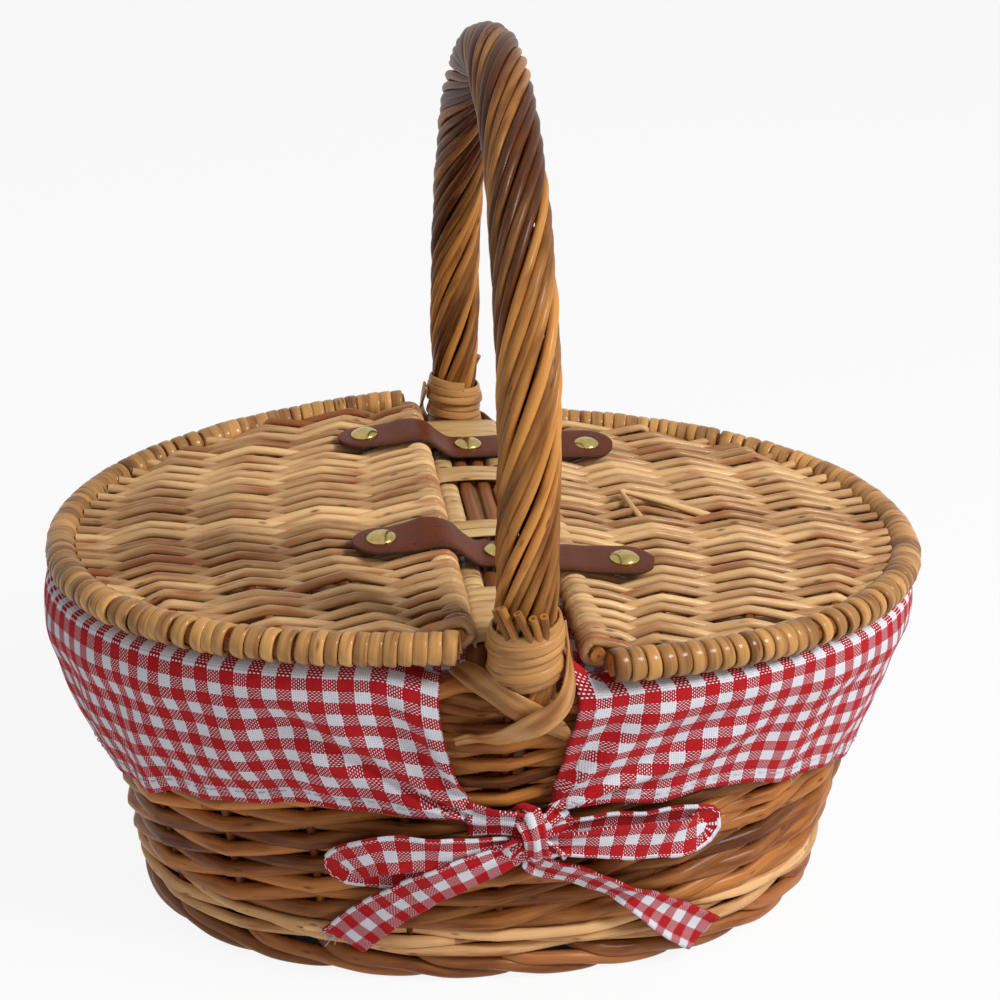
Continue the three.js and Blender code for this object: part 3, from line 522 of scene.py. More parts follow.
STRANDS, ROPE_RADIUS, ROPE_PITCH = 15, 0.0107, 0.146
rope = Bundle(10)
for k in range(STRANDS):
    spin = -2 * np.pi * (arc / ROPE_PITCH) + 2 * np.pi * k / STRANDS + 0.05 * rng.normal()
    spin = spin + 0.06 * np.sin(arc * 21 + rng.uniform(0, 6))
    size = 0.0040 * rng.uniform(0.86, 1.16) * (1 + 0.05 * np.sin(arc * 9 + rng.uniform(0, 6)))
    reach = ROPE_RADIUS - size / 2 + 0.0003 * np.sin(arc * 26 + rng.uniform(0, 6))
    reach = reach - 0.0014 * (centre[:, 1] > 0) * np.clip((0.185 - centre[:, 2]) / 0.02, 0, 1)
    outward = across * np.cos(spin)[:, None] + outwards * np.sin(spin)[:, None]
    # The tone deepens towards the top of the bow, and the rear leg is made deeper as painted shade.
    deeper_top_and_rear_shade = 0.55 * np.clip((centre[:, 2] - 0.262) / 0.06, 0, 1) + 0.2 * (centre[:, 1] > 0)
    rope.lay(centre + outward * reach[:, None], size, up=outward, tone=rng.uniform(0.0, 0.7) + deeper_top_and_rear_shade)
# The spare ends: their turn round the foot at the bottom and at the top, and the top's height
SPARE_ENDS = [(-0.62, -1.0, 0.1772), (-0.40, -0.80, 0.1786), (0.05, -0.36, 0.1780), (0.33, 0.02, 0.1764),
              (0.52, 0.31, 0.1766)]
SPARE_FOOT = 0.160
for side in (-1, 1):
    for low_turn, high_turn, top in SPARE_ENDS:
        t = np.linspace(0, 1, 9)
        z = SPARE_FOOT + (top - SPARE_FOOT) * t
        spin = low_turn + (high_turn - low_turn) * np.clip((t - 0.3) / 0.7, 0, 1)
        radius = 0.0106 + 0.0030 * np.clip((t - 0.25) / 0.75, 0, 1)
        away = np.stack([-side * np.sin(spin), side * np.cos(spin), 0 * z], 1)
        path = away * radius[:, None] + np.stack([0 * z, 0 * z + side * HANDLE_Y, z], 1)
        rope.lay(path, 0.0030, up=away, tone=rng.uniform(0.3, 0.75), wobble=0.02)
rope.make("handle_rods", HANDLE_WILLOW, "basket", "handle_willow", "handle_rope")
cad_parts["handle_bow"].data.materials.clear()
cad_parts["handle_bow"].data.materials.append(SHADE_DARK_CORE_WILLOW)

# Each foot of the handle is bound with a split skein, five turns laid edge over edge and rising to
# the right, then two skeins cross over the border and hold the handle down.
SKEIN = willow("split skein", (212, 156, 94), (112, 66, 30), (136, 76, 36), spread=1.3, coat=0.2)
BINDING_FOOT, BINDING_RISE = 0.1500, 0.0185


def beside_wall(x, z, out):
    """The y of a point on the front of the level wall, a distance outside its outer face."""
    a = wall_line(z) + out
    return -oval_reach(x, a - OVAL_STEP, a)


def wall_end(x, z):
    """A skein's end on the front of the wall, in millimetres."""
    return x, 1000 * float(beside_wall(x * 0.001, z * 0.001, 0.0012)), z


# The middle lines of the two skeins at the front foot, in millimetres
UNDER_LINE = [(-22.3, -112, 148.2), (-17.8, -119.4, 148), (-12.8, -126.8, 146.8), (-6.8, -131.5, 144),
              (-1.6, -132, 140.6), (3.2, -129.8, 136.4), (7.6, -125, 131.4), (11.6, -118.8, 125.8),
              wall_end(17.6, 119)]
OVER_LINE = [(13.0, -117.6, 167.2), (14.4, -122, 158), (14.4, -127.4, 149.4), (11.9, -132, 143.6),
             (7.2, -134.2, 139.6), (0.6, -134, 135.4), (-5.9, -128.2, 129), (-11.6, -121, 123.8),
             wall_end(-17.2, 120.4), wall_end(-23.2, 119)]
for side in (-1, 1):
    binding = Bundle(8)
    turns = np.linspace(-0.15, 5.55, 150)
    spin = 2 * np.pi * turns - 0.5 * np.pi
    size = 0.0125 if side < 0 else 0.0113
    size = size + 0.0006 * np.sin(turns * 2.1) - 0.0007 * np.clip(1 - turns, 0, 1)
    ring = np.stack([np.cos(spin), np.sin(spin), 0 * spin], 1)
    tip = 0.0016 * np.cos(spin - 0.4)
    rise = np.clip(turns, 0, 5.3) / 5.3 * BINDING_RISE
    path = ring * size[:, None] + np.stack([0 * spin, 0 * spin, BINDING_FOOT + rise + tip], 1)
    lean = ring + np.array([0, 0, 0.22])
    path[:, :2] *= -side
    path[:, 1] += side * HANDLE_Y
    lean[:, :2] *= -side
    binding.lay(path, 0.0042, 0.0013, up=lean, tone=0.35, square=0.55, wobble=0.03)
    name = "front" if side < 0 else "back"
    binding.make(f"binding_{name}_skein", SKEIN, "basket", "skein", f"handle_binding_{name}")

    for label, line, flat_end in (("under", UNDER_LINE, 0.3), ("over", OVER_LINE, 0.0)):
        p = smooth_line(np.array(line) * 0.001 * [-side, -side, 1], 0.0014)
        t = np.linspace(0, 1, len(p))[:, None]
        low = eased(t, 0.42, 0.72)
        turned_front = np.clip((t - 0.12) / 0.3, 0, 1)
        from_handle = (p - np.array([0, side * HANDLE_Y, 0])) * [1, 1, 0]
        from_handle = from_handle * (1 - 0.5 * turned_front) + turned_front * np.array([0, side * 0.018, 0])
        away = from_handle * (1 - low) + low * np.array([0, side * 0.010, -0.004])
        if flat_end:
            flat = 1 - np.clip(t / flat_end, 0, 1)
            away = away * (1 - flat) + flat * np.array([0, side * 0.004, 0.012])
        start = 0.0052 if label == "over" else 0.0078
        wide = np.interp(t[:, 0], [0, 0.2, 0.5, 0.8, 1], [start, start + 0.0008, 0.0098, 0.0088, 0.0044])
        wide = wide * (1 + 0.03 * np.sin(t[:, 0] * 11))
        band = Bundle(14)
        band.lay(p, wide, 0.0012, up=away, tone=0.3 if label == "over" else 0.45, square=0.45, wobble=0.02)
        band.make(f"lashing_{label}_{name}_skein", SKEIN, "basket", "skein", f"lashing_{label}_{name}")

# Bridge
# The strip between the lids: four brown rods from rim to rim, with flat 6 mm splints woven over the
# outer ones and, every 56 mm, two together across all four. Wide splints cover both ends.
SPLINT = willow("pale splint", (226, 190, 132), (172, 124, 72), (168, 112, 62), spread=0.9, coat=0.15)
ROD_BROWN = willow("bridge rod willow", (150, 90, 44), (88, 44, 18), (116, 54, 22), spread=0.7)
end_line = [[-107.4, 140.4], [-106.6, 146.6], [-103, 150.8], [-96, 152.4]]
level_line = [[y, 152.5] for y in (-84, -40, 0, 40, 84)]
rod_line = np.array(end_line + level_line + [[-y, z] for y, z in end_line[::-1]]) * 0.001
for k, x in enumerate((-12.2, -3.7, 3.5, 12.2)):
    outer = np.clip((np.abs(rod_line[:, :1]) - 0.096) / 0.008, 0, 1) * (abs(x) > 10)
    line = smooth_line(np.column_stack([x * 0.001 * (1 + 0.24 * outer), rod_line]), 0.004)
    at_end = np.clip((np.abs(line[:, 1]) - 0.096) / 0.008, 0, 1)
    one = Bundle(12)
    one.lay(line, 0.0056 if abs(x) < 10 else 0.0048 + 0.0030 * at_end, 0.0046, tone=rng.uniform(0.25, 0.7),
            square=0.8)
    one.make(f"bridge_rod_{k + 1}_willow", ROD_BROWN, "basket", "stake_willow", f"bridge_rod_{k + 1}")

splints = Bundle(10)
# The outer rods' splints lie in runs, 6.2 mm apart, between the pairs that cross all four rods
rows = [(y, False) for y in (-66.2, -60, -53.8, -47.6, -41.4, -35.2, -29, -2.6, 3.6, 9.8, 16, 22.2, 28.4)]
rows += [(y, False) for y in (53.6, 59.8, 66)] + [(y, True) for y in (-18.6, -11.4, 37.2, 44.6)]
for y, crossing in rows:
    y += 0.15 * rng.normal()
    for side in (-1,) if crossing else (-1, 1):
        slant = 0.3 * rng.normal()
        if crossing:
            half = [[-15.2, 149.4], [-16.4, 152.4], [-14.6, 155.3], [-10, 156.0], [-4, 156.4], [0, 156.5]]
            line = half + [[-x, z] for x, z in half[-2::-1]]
        else:
            line = [[7.5, 150.4], [7.6, 153.0], [8.6, 155.0], [11, 155.6], [13.8, 155.3], [16.0, 153.4],
                    [16.1, 150.8], [14, 149.2], [9, 149]]
        p = smooth_line([[x * side, y + slant * x / 16, z] for x, z in line], 1.2) * 0.001
        inner = 0 if crossing else side * 0.0118
        away = np.stack([p[:, 0] - inner, 0 * p[:, 0], 2 * (p[:, 2] - 0.1518)], 1)
        if crossing:
            away[np.abs(p[:, 0]) < 0.0135] = [0, 0, 1]
        splints.lay(p, (0.0069 if crossing else 0.0060) * rng.uniform(0.97, 1.03), 0.0009, up=away,
                    tone=rng.uniform(0.0, 0.55), square=0.3, wobble=0.01)
under = np.column_stack([np.zeros(60), np.linspace(-0.098, 0.098, 60), np.full(60, 0.1512)])
splints.lay(under, 0.0050, 0.0012, tone=0.2, square=0.4)
splints.make("bridge_splints", SPLINT, "basket", "splint", "bridge_weave")

for side in (-1, 1):
    ends = Bundle(10)
    # The lower, outer end splints take deeper tones, as painted shade under the handle.
    for lift, y0, y1, wide, shade in ((1.0, 69.2, 79.6, 31.0, 0.15), (0.6, 79.2, 100.2, 31.6, 0.4),
                                      (0.0, 99.2, 105.6, 31.2, 0.7)):
        middle = (y0 + y1) / 2
        z = np.interp(middle, [95, 103, 107], [152.5, 151.6, 149.4]) + 3.3 + lift
        drop = np.interp(middle, [88, 95, 103], [0, 0.05, 0.3])
        half = wide / 2
        line = [[-half, z - 4.4], [-half - 0.4, z - 1.6], [-half + 1.6, z - 0.1], [-half * 0.6, z + 0.25],
                [0, z + 0.4]]
        line += [[-x, h] for x, h in line[-2::-1]]
        p = smooth_line(np.array([[x, side * middle, h] for x, h in line]) * 0.001, 0.0012)
        away = np.stack([p[:, 0] * 0.25, np.full(len(p), side * drop * 0.0145), np.full(len(p), 0.0145)], 1)
        edge = np.abs(p[:, 0]) > 0.0148
        away[edge, 0] = np.sign(p[edge, 0]) * 0.02
        ends.lay(p, (y1 - y0) * 0.001, 0.0012, up=away, tone=shade, square=0.35, wobble=0.01)
    name = "front" if side < 0 else "back"
    ends.make(f"bridge_bar_{name}_splint", SPLINT, "basket", "splint", f"bridge_bar_{name}")

# Packing rods
# Beside each foot of the handle the border rises from the wall. A short rod is tucked in below it,
# with both ends pushed in behind the stakes.
packing = Bundle(10)
for side in (-1, 1):
    t = np.linspace(0, 1, 18)
    x = 0.050 - 0.048 * t
    z = 0.1287 + 0.0010 * np.exp(-((x - 0.021) / 0.012) ** 2)
    angle = side * np.arccos(side * (x / wall_line(z)) ** (OVAL / 2))
    tucked = np.abs(2 * t - 1) ** 5
    packing.lay(on_wall(angle, z, -0.0036 - 0.0060 * tucked), 0.0050 - 0.0014 * tucked, tone=0.4)
packing.make("packing_rods", BODY_WILLOW, "basket", "body_willow")

# Lids
# Each lid is a D: a hoop bent from one rod, a straight edge rod on the hinge side and three stakes
# between them. Golden weavers run across from the edge rod to the hoop, over and under the stakes.
# At the edge rod they fold back in pairs with an extra turn, and at the hoop every end is wound
# round it, with more turns of skein between them where they lie far apart.
LID_WILLOW = willow("lid willow", (242, 198, 140), (132, 76, 34), (172, 98, 58), spread=1.1, coat=0.2)
HOOP_WILLOW = willow("hoop skein", (226, 168, 96), (96, 52, 20), (130, 66, 26), spread=1.2, coat=0.3)
# Where the hoop starts, and the places where the weave has opened: x, y and by how many millimetres
LIDS["lid_left"].update(seed=5, hoop_from=0.0225, parted=[
    (0.056, -0.066, 2.0), (0.036, -0.077, 2.4), (0.094, -0.066, 1.8), (0.07, 0.05, 1.2)])
LIDS["lid_right"].update(seed=9, hoop_from=0.030, parted=[
    (0.064, 0.005, 2.4), (0.079, -0.086, 2.8), (0.048, -0.1, 2.2), (0.1, 0.02, 1.4)])
LID_A, LID_B = 0.1656, 0.1196  # half the length and half the depth of the oval that the hoops follow
ROW, FOLD = 0.0040, 0.0045  # from row to row, and the radius of a fold round the edge rod
WRAP = 0.0052  # from turn to turn round the hoop
STAKE_X, STAKE_BOW, STAKE_REACH = (0.065, 0.099, 0.131), (0.4, 0.28, 0.22), 0.126
HOOP_ROD, EDGE_ROD, LID_STAKE, WEAVER = 0.0084, 0.0056, 0.0044, 0.0036  # thicknesses
OVER_STAKE, OVER_EDGE = 0.0034, 0.0036  # how far a weaver's middle is lifted where it passes over


def lid_edge(y, inset=0.0):
    """How far out the lid reaches at a place along its hinge."""
    return oval_reach(y, LID_A - inset, LID_B - inset)


def stake_x(k, y):
    """The stakes lie side by side in the middle and draw in towards the hinge at both ends."""
    return STAKE_X[k] * (1 - STAKE_BOW[k] * (y / STAKE_REACH) ** 2)


for name, lid in LIDS.items():
    rng = np.random.default_rng(lid["seed"])
    side, tilt = lid["side"], math.atan(lid["slope"])
    hinge_x, hinge_z = lid["hinge_x"], lid["hinge_z"]

    def placed(points):
        """From the lid's own frame (out from the hinge, along it, up) to the basket's."""
        p = np.asarray(points, float)
        u, v, h = (p[:, 0] - hinge_x) / math.cos(tilt), p[:, 1], p[:, 2]
        x = hinge_x + u * math.cos(tilt) + h * math.sin(tilt)
        z = hinge_z - u * math.sin(tilt) + h * math.cos(tilt)
        return np.stack([side * x, v, z], 1)

    # The hoop's middle line, from its front end round to its back end
    end = math.acos((lid["hoop_from"] / LID_A) ** (OVAL / 2))
    hoop_angle = np.linspace(-end, end, 901)
    hx = LID_A * signed_power(np.cos(hoop_angle), 2 / OVAL)
    hy = LID_B * signed_power(np.sin(hoop_angle), 2 / OVAL)
    hoop_arc = length_along(np.stack([hx, hy], 1))

    def hoop_at(s):
        """A point of the hoop, its direction and the way out of the lid, at a length along it."""
        x, y = np.interp(s, hoop_arc, hx), np.interp(s, hoop_arc, hy)
        dx = np.interp(s + 0.001, hoop_arc, hx) - np.interp(s - 0.001, hoop_arc, hx)
        dy = np.interp(s + 0.001, hoop_arc, hy) - np.interp(s - 0.001, hoop_arc, hy)
        size = np.hypot(dx, dy) + 1e-12
        return np.array([x, y]), np.array([dx, dy]) / size, np.array([dy, -dx]) / size

    def parting(x, y):
        """How far a row is pushed aside where the weave has opened."""
        moved = 0.0
        for at_x, at_y, size in lid["parted"]:
            near = np.exp(-((x - at_x) / 0.022) ** 2 - np.abs(y - at_y) / 0.007)
            moved += size * 0.001 * np.sign(y - at_y) * near
        return float(moved)

    hoop_core = Bundle(12)
    s = np.linspace(0, hoop_arc[-1], 220)
    core = np.column_stack([np.interp(s, hoop_arc, hx), np.interp(s, hoop_arc, hy), np.zeros(220)])
    hoop_core.lay(placed(core), HOOP_ROD, tone=0.75)
    hoop_core.make(f"{name}_hoop_rod", BODY_WILLOW, name, "hoop_willow", f"{name}_hoop")

    edge_core = Bundle(10)
    y = np.linspace(-0.1112, 0.1112, 40)
    edge_core.lay(placed(np.column_stack([np.full(40, hinge_x), y, 0 * y])), EDGE_ROD, tone=0.6)
    edge_core.make(f"{name}_edge_willow", BODY_WILLOW, name, "hoop_willow", f"{name}_edge_rod")

    for k in range(3):
        reach = STAKE_REACH
        while stake_x(k, reach) > lid_edge(reach, 0.006):
            reach -= 0.0005
        y = np.linspace(-reach, reach, 40)
        stake = Bundle(8)
        stake.lay(placed(np.column_stack([stake_x(k, y), y, 0 * y])), LID_STAKE, tone=rng.uniform(0.3, 0.8))
        stake_name = f"{name}_stake_{k + 1}"
        stake.make(f"{stake_name}_willow", BODY_WILLOW, name, "stake_willow", stake_name)

    def leg(y0, above, hoop_x, last, points):
        """One row, from the edge rod to where it meets the hoop, kinked at the stakes."""
        knots = [(hinge_x + 0.0055, y0, OVER_EDGE * above)] + points
        if knots[-1][0] < hoop_x - 0.014:
            knots.append((hoop_x - 0.0058, y0, -0.0020 * last))
        else:
            knots.append((max(hoop_x - 0.0052, knots[-1][0] + 0.003), y0, -0.0010 * last))
        out = []
        for a, b in zip(knots[:-1], knots[1:]):
            a, b = np.array(a), np.array(b)
            n = max(3, int(np.linalg.norm(b - a) / 0.0028))
            t = np.linspace(0, 1, n, endpoint=False)
            ease = 0.70 * t + 0.30 * (1 - np.cos(np.pi * t)) / 2
            step = a + (b - a) * t[:, None]
            step[:, 2] = a[2] + (b[2] - a[2]) * ease
            out.append(step)
        return np.concatenate(out + [np.array([knots[-1]])])

    weave, wraps = Bundle(8), Bundle(8)
    rows = np.arange(-27, 28) * ROW
    met = []
    for pair in range(0, len(rows) - 1, 2):
        size = WEAVER * rng.uniform(0.9, 1.1)
        tone = float(np.clip(rng.normal(0.42, 0.24), 0, 1))
        legs, starts = [], []
        for j in (pair, pair + 1):
            y0 = rows[j] + 0.0003 * rng.normal()
            above = 1 if j % 2 == 0 else -1
            hoop_x = float(lid_edge(y0))
            # Where it passes over, 1, or under, -1, each stake that it meets before the hoop
            hold = [(float(stake_x(k, y0)), above * (-1) ** (k + 1)) for k in range(3)]
            hold = [(x, h) for x, h in hold if x < hoop_x - 0.012]
            points = [(x, y0 + parting(x, y0) + 0.0005 * rng.normal(),
                       OVER_STAKE * h * rng.uniform(0.9, 1.08)) for x, h in hold]
            legs.append(leg(y0, above, hoop_x, hold[-1][1] if hold else above, points))
            starts.append(y0)
            met.append(float(np.interp(y0, hy, hoop_arc)))
        # The fold: over the edge rod, once round it and off below, from one row to the next
        spin = np.linspace(0.42 * np.pi, -2.5 * np.pi, 30)
        fold = np.column_stack([hinge_x - FOLD * np.cos(spin), np.linspace(*starts, 30), FOLD * np.sin(spin)])
        full = smooth_line(np.concatenate([legs[0][:0:-1], fold, legs[1][1:]]), 0.0022)
        weave.lay(placed(full), size, tone=tone)

    # Each row's end goes round the hoop like a finger and is tucked in under it. Where two of them
    # lie far apart, turns of skein fill the space.
    ends = [(0.0030, False)] + [(s, True) for s in sorted(met)] + [(hoop_arc[-1] - 0.0030, False)]
    turns = []
    for (a, own), (b, _) in zip(ends[:-1], ends[1:]):
        more = int(round((b - a) / WRAP)) - 1
        turns += [(a, own)] + [(a + (b - a) * (m + 1) / (more + 1), False) for m in range(more)]
    turns.append(ends[-1])
    for s0, own in turns:
        at, along, out = hoop_at(s0)
        spin = np.linspace(1.30 * np.pi, -0.78 * np.pi, 22)
        shift = np.linspace(-0.5, 0.5, 22) * 0.0040 * (1 if own else 0.8)
        r = 0.0050 * rng.uniform(0.97, 1.06)
        flat = at + np.outer(r * np.cos(spin), out) + np.outer(shift, along)
        path = placed(np.column_stack([flat, r * np.sin(spin)]))
        wraps.lay(path, 0.0053 * rng.uniform(0.88, 1.08), 0.0019, up=path - placed([[*at, 0]]),
                  tone=float(np.clip(rng.normal(0.45, 0.17), 0, 1)), square=0.6)
    wraps.make(f"{name}_hoop_wrapping", HOOP_WILLOW, name, "hoop_willow")
    if name == "lid_right":
        # One weaver has snapped, and its two ends stand out of the lid
        long_end = [(0.092, 0.008, 0.0006), (0.076, 0.012, 0.0044), (0.058, 0.020, 0.0066)]
        short_end = [(0.0575, 0.0195, 0.0070), (0.060, 0.012, 0.0045), (0.0635, 0.004, 0.0015)]
        for points, sizes, tone in ((long_end, (0.0032, 0.0022), 0.1), (short_end, (0.0018, 0.0028), 0.25)):
            line = smooth_line(points, 0.003)
            weave.lay(placed(line), np.linspace(*sizes, len(line)), tone=tone)
    weave.make(f"{name}_weavers", LID_WILLOW, name, "lid_willow", f"{name}_weave")

# Gingham
# Plain-woven cotton in 5 mm red and white checks, seven threads to a check. Where a red and a white
# stripe cross, the threads that lie on top show by turns, which leaves small white dots on the red.
CHECK, THREAD = 0.005, 0.000714


def gingham_weave():
    g, given, out = new_group("Gingham weave", {"Red": "Color", "White": "Color"},
                              {"Color": "Color", "Height": "Float", "Roughness": "Float"})
    place = node(g, "ShaderNodeUVMap", uv_map="cloth").outputs[0]
    ragged = noise(g, place, 700.0, 1.0, output="Color")
    shift = node(g, "ShaderNodeVectorMath", operation="MULTIPLY_ADD",
                 inputs={0: ragged, 1: (0.00009, 0.00009, 0), 2: place}).outputs[0]
    axes = node(g, "ShaderNodeSeparateXYZ", inputs={0: shift}).outputs
    stripe, cell, crown = [], [], []
    for axis in axes[:2]:
        half = value(g, "FRACT", value(g, "DIVIDE", axis, 2 * CHECK))
        stripe.append(value(g, "LESS_THAN", half, 0.5))
        thread = value(g, "DIVIDE", axis, THREAD)
        cell.append(value(g, "FLOOR", thread))
        crown.append(value(g, "SINE", value(g, "MULTIPLY", value(g, "FRACT", thread), math.pi)))
    parity = value(g, "FRACT", value(g, "MULTIPLY", value(g, "ADD", *cell), 0.5))
    warp_on_top = value(g, "GREATER_THAN", parity, 0.25)
    weft_on_top = value(g, "SUBTRACT", 1.0, warp_on_top)
    red, high = [value(g, "MULTIPLY_ADD", warp_on_top, warp, value(g, "MULTIPLY", weft_on_top, weft))
                 for warp, weft in (stripe, crown)]
    slub = noise(g, place, 260.0, 3.0)
    speckled = value(g, "ABSOLUTE", value(g, "SUBTRACT", *stripe))
    thin = value(g, "MULTIPLY", speckled, value(g, "LESS_THAN", high, 0.83))
    # In the mixed checks the red threads are darkened to crimson, as painted shade of the threads lying
    # beneath.
    red_yarn = mixed(g, value(g, "MULTIPLY", speckled, 0.25), given.outputs["Red"], srgb(150, 4, 34))
    yarn = mixed(g, value(g, "MAXIMUM", red, thin), given.outputs["White"], red_yarn)
    worn = mixed(g, value(g, "MULTIPLY", slub, 0.06), yarn, srgb(235, 170, 178))
    # Between the threads the colour is darkened, as painted shade in the hollows of the weave.
    thread_shade = value(g, "MULTIPLY_ADD", high, 0.48, 0.54, clamp=True)
    dark = node(g, "ShaderNodeVectorMath", operation="SCALE", inputs={0: worn, "Scale": thread_shade}).outputs[0]
    link(g, dark, out.inputs["Color"])
    link(g, value(g, "MULTIPLY_ADD", slub, 0.5, high), out.inputs["Height"])
    link(g, value(g, "MULTIPLY_ADD", slub, 0.2, 0.75), out.inputs["Roughness"])
    return g


GINGHAM = gingham_weave()


def cotton(name, red, white):
    made, tree, shader = new_material(name, Sheen_Weight=0.04, Sheen_Roughness=0.5, Specular_IOR_Level=0.1)
    cloth = node(tree, "ShaderNodeGroup", node_tree=GINGHAM, inputs={
        "Red": srgb(*red), "White": srgb(*white)})
    link(tree, cloth.outputs["Color"], shader.inputs["Base Color"])
    link(tree, cloth.outputs["Roughness"], shader.inputs["Roughness"])
    bumped(tree, shader, cloth.outputs["Height"], 0.6, 0.00015)
    return made


COTTON = cotton("gingham cotton", (196, 6, 16), (240, 241, 250))
THREADS = cotton("sewing thread", (232, 224, 228), (240, 240, 244))


def cloth_sheet(name, grid, uv, thickness=0.0007, skip=None, wrap=False, level_rows=0):
    """A sheet from a grid of points, with its place on the uncut cloth as its UV map. Its first rows
    can be a level panel of their own, whose cloth lies straight."""
    rows, cols = grid.shape[:2]
    number = np.arange(rows * cols).reshape(rows, cols)
    faces, corners = [], []
    flat_uv = uv.reshape(-1, 2)
    for i in range(rows - 1):
        for j in range(cols if wrap else cols - 1):
            n = (j + 1) % cols
            if skip is not None and skip[i, j]:
                continue
            ring = [number[i, j], number[i, n], number[i + 1, n], number[i + 1, j]]
            faces.append([int(q) for q in ring])
            at = [flat_uv[q].copy() for q in ring]
            if i < level_rows:
                at = [grid.reshape(-1, 3)[q][:2] for q in ring]
            elif n == 0:
                # The last column of a sheet that closes on itself
                step = flat_uv[number[i, 1]][0] - flat_uv[number[i, 0]][0]
                at[1][0] = at[0][0] + step
                at[2][0] = at[3][0] + step
            corners += [tuple(a) for a in at]
    mesh = bpy.data.meshes.new(name)
    mesh.from_pydata(grid.reshape(-1, 3).tolist(), [], faces)
    layer = mesh.uv_layers.new(name="cloth")
    layer.data.foreach_set("uv", np.array(corners, np.float32).ravel())
    mesh.polygons.foreach_set("use_smooth", [True] * len(faces))
    work = bmesh.new()
    work.from_mesh(mesh)
    loose = [v for v in work.verts if not v.link_faces]
    bmesh.ops.delete(work, geom=loose, context="VERTS")
    work.to_mesh(mesh)
    work.free()
    mesh.materials.append(COTTON)
    obj = bpy.data.objects.new(name, mesh)
    bpy.context.collection.objects.link(obj)
    solid = obj.modifiers.new("thickness", "SOLIDIFY")
    solid.thickness, solid.offset = thickness, 0.0
    return obj


# Skirts
# The liner's outer flaps: each hangs from the rim round one end of the basket, is hemmed and
# stitched, and is drawn in to the bow at its two lower corners, so that folds run out from there.
# For each flap: the hem's height at the handle and how much it drops to the end, the half opening at
# the handle and how it closes downwards and over the rim, its bulge, and how far its corner stands up
SKIRTS = {
    "right": {"hem": 0.086, "drop": 0.022, "open": 0.0184, "close": 0.0074, "bend": 1.4, "bulge": 0.0028,
              "phase": 0.6, "drawn": 0.0046, "corner": 0.0105},
    "left": {"hem": 0.081, "drop": 0.018, "open": 0.028, "close": 0.0154, "bend": 1.9, "bulge": 0.0066,
             "phase": 2.1, "drawn": 0.0, "corner": 0.0},
}
SKIRT_TOP, FLAP = 0.1363, 0.062  # the height where a flap leaves the rim, and its length from there
ROLL_RADIUS = 0.0079
LEAVES_RIM = 0.36  # the turn round the rim, in radians above level, where the flap leaves it
FLAP_RUN = 0.42  # about as long as a flap is along the rim
CORNER_REACH = 0.0105  # how much of its length stands up at each end
STITCH_LINE = 0.915  # where its long row of stitches lies, as a share of the way down
rng = np.random.default_rng(31)


def skirt_point(form, turn, s, v, lift=0.0):
    """A point of a flap: s runs along it from -1/2 to 1/2, v down it from 0 to 1."""
    # Above its top edge the flap goes on round the rolled rim
    over = np.maximum(-v, 0) * FLAP / ROLL_RADIUS
    v = np.maximum(v, 0)
    opening = form["open"] - form["close"] * v ** form["bend"] - form["drawn"] * np.clip(over / 1.4, 0, 1)
    angle = 2 * s * np.arccos((opening / RIM_REACH) ** (OVAL / 2))
    x0 = RIM_REACH * signed_power(np.cos(angle), 2 / OVAL)
    hem = form["hem"] - form["drop"] * (np.abs(x0) / 0.156) ** 4
    hem = hem + 0.0011 * np.sin(17 * angle + form["phase"])
    hem = hem + 0.0007 * np.sin(31 * angle) * (1 - np.abs(2 * s) ** 8)
    z = SKIRT_TOP + (hem - SKIRT_TOP) * v
    bulge = 0.0014 + form["bulge"] * np.cos(angle) ** 2
    bulge = bulge * np.sin(np.pi * np.minimum(1, 0.22 + 0.72 * v))
    fold = 0.001 * np.sin(9 * angle + 2.2 * v) * (0.2 + 1.1 * v) * (1 - 0.6 * np.abs(2 * s) ** 6)
    # Folds that fan out from each lower corner, where the flap is tied
    reach = (0.5 - np.abs(s)) * FLAP_RUN
    height = np.maximum((1 - v) * 0.060 + 0.004, 0.0)
    far = np.hypot(reach, height)
    fan = np.arctan2(height, reach + 0.006)
    ripple = np.sin(13 * fan + form["phase"] + 14 * far) + 0.5 * np.sin(23 * fan + 2.0 + 9 * far)
    ripple = ripple * 0.0021 * np.exp(-far / 0.085) * np.clip(far / 0.012, 0, 1) * np.clip(v * 4, 0, 1)
    sag = 0.0008 * np.sin(24 * angle + 5 * v + form["phase"]) * np.clip(v * 3, 0, 1)
    hemmed = 0.00035 * np.clip((v - 0.905) / 0.012, 0, 1)
    # From the rim's outer edge it comes in to the wall
    down = eased(v, 0.06, 0.40)
    rim_edge = RIM_REACH + 0.0068
    line = rim_edge * (1 - down) + (wall_line(z) + 0.0014) * down
    line = line + bulge + fold + np.maximum(ripple + sag, -0.0012 - bulge * 0.5) + hemmed + lift
    past = np.clip(over / 0.9, 0, 1)
    roll = 0.0082 - 0.0006 * past + (line - rim_edge) * (1 - past) ** 2
    line = np.where(past > 0.001, RIM_REACH + roll * np.cos(over + LEAVES_RIM), line)
    z = np.where(past > 0.001, RIM_MIDDLE + roll * np.sin(over + LEAVES_RIM), z)
    # Its corner stands up a little beside the handle
    z = z + form["corner"] * past * np.clip(1 - reach / CORNER_REACH, 0, 1) ** 1.3
    x, y = oval(line, angle)
    x, y = turn * x, turn * y
    return np.stack([x, y, z + sheer(x, z)], -1)


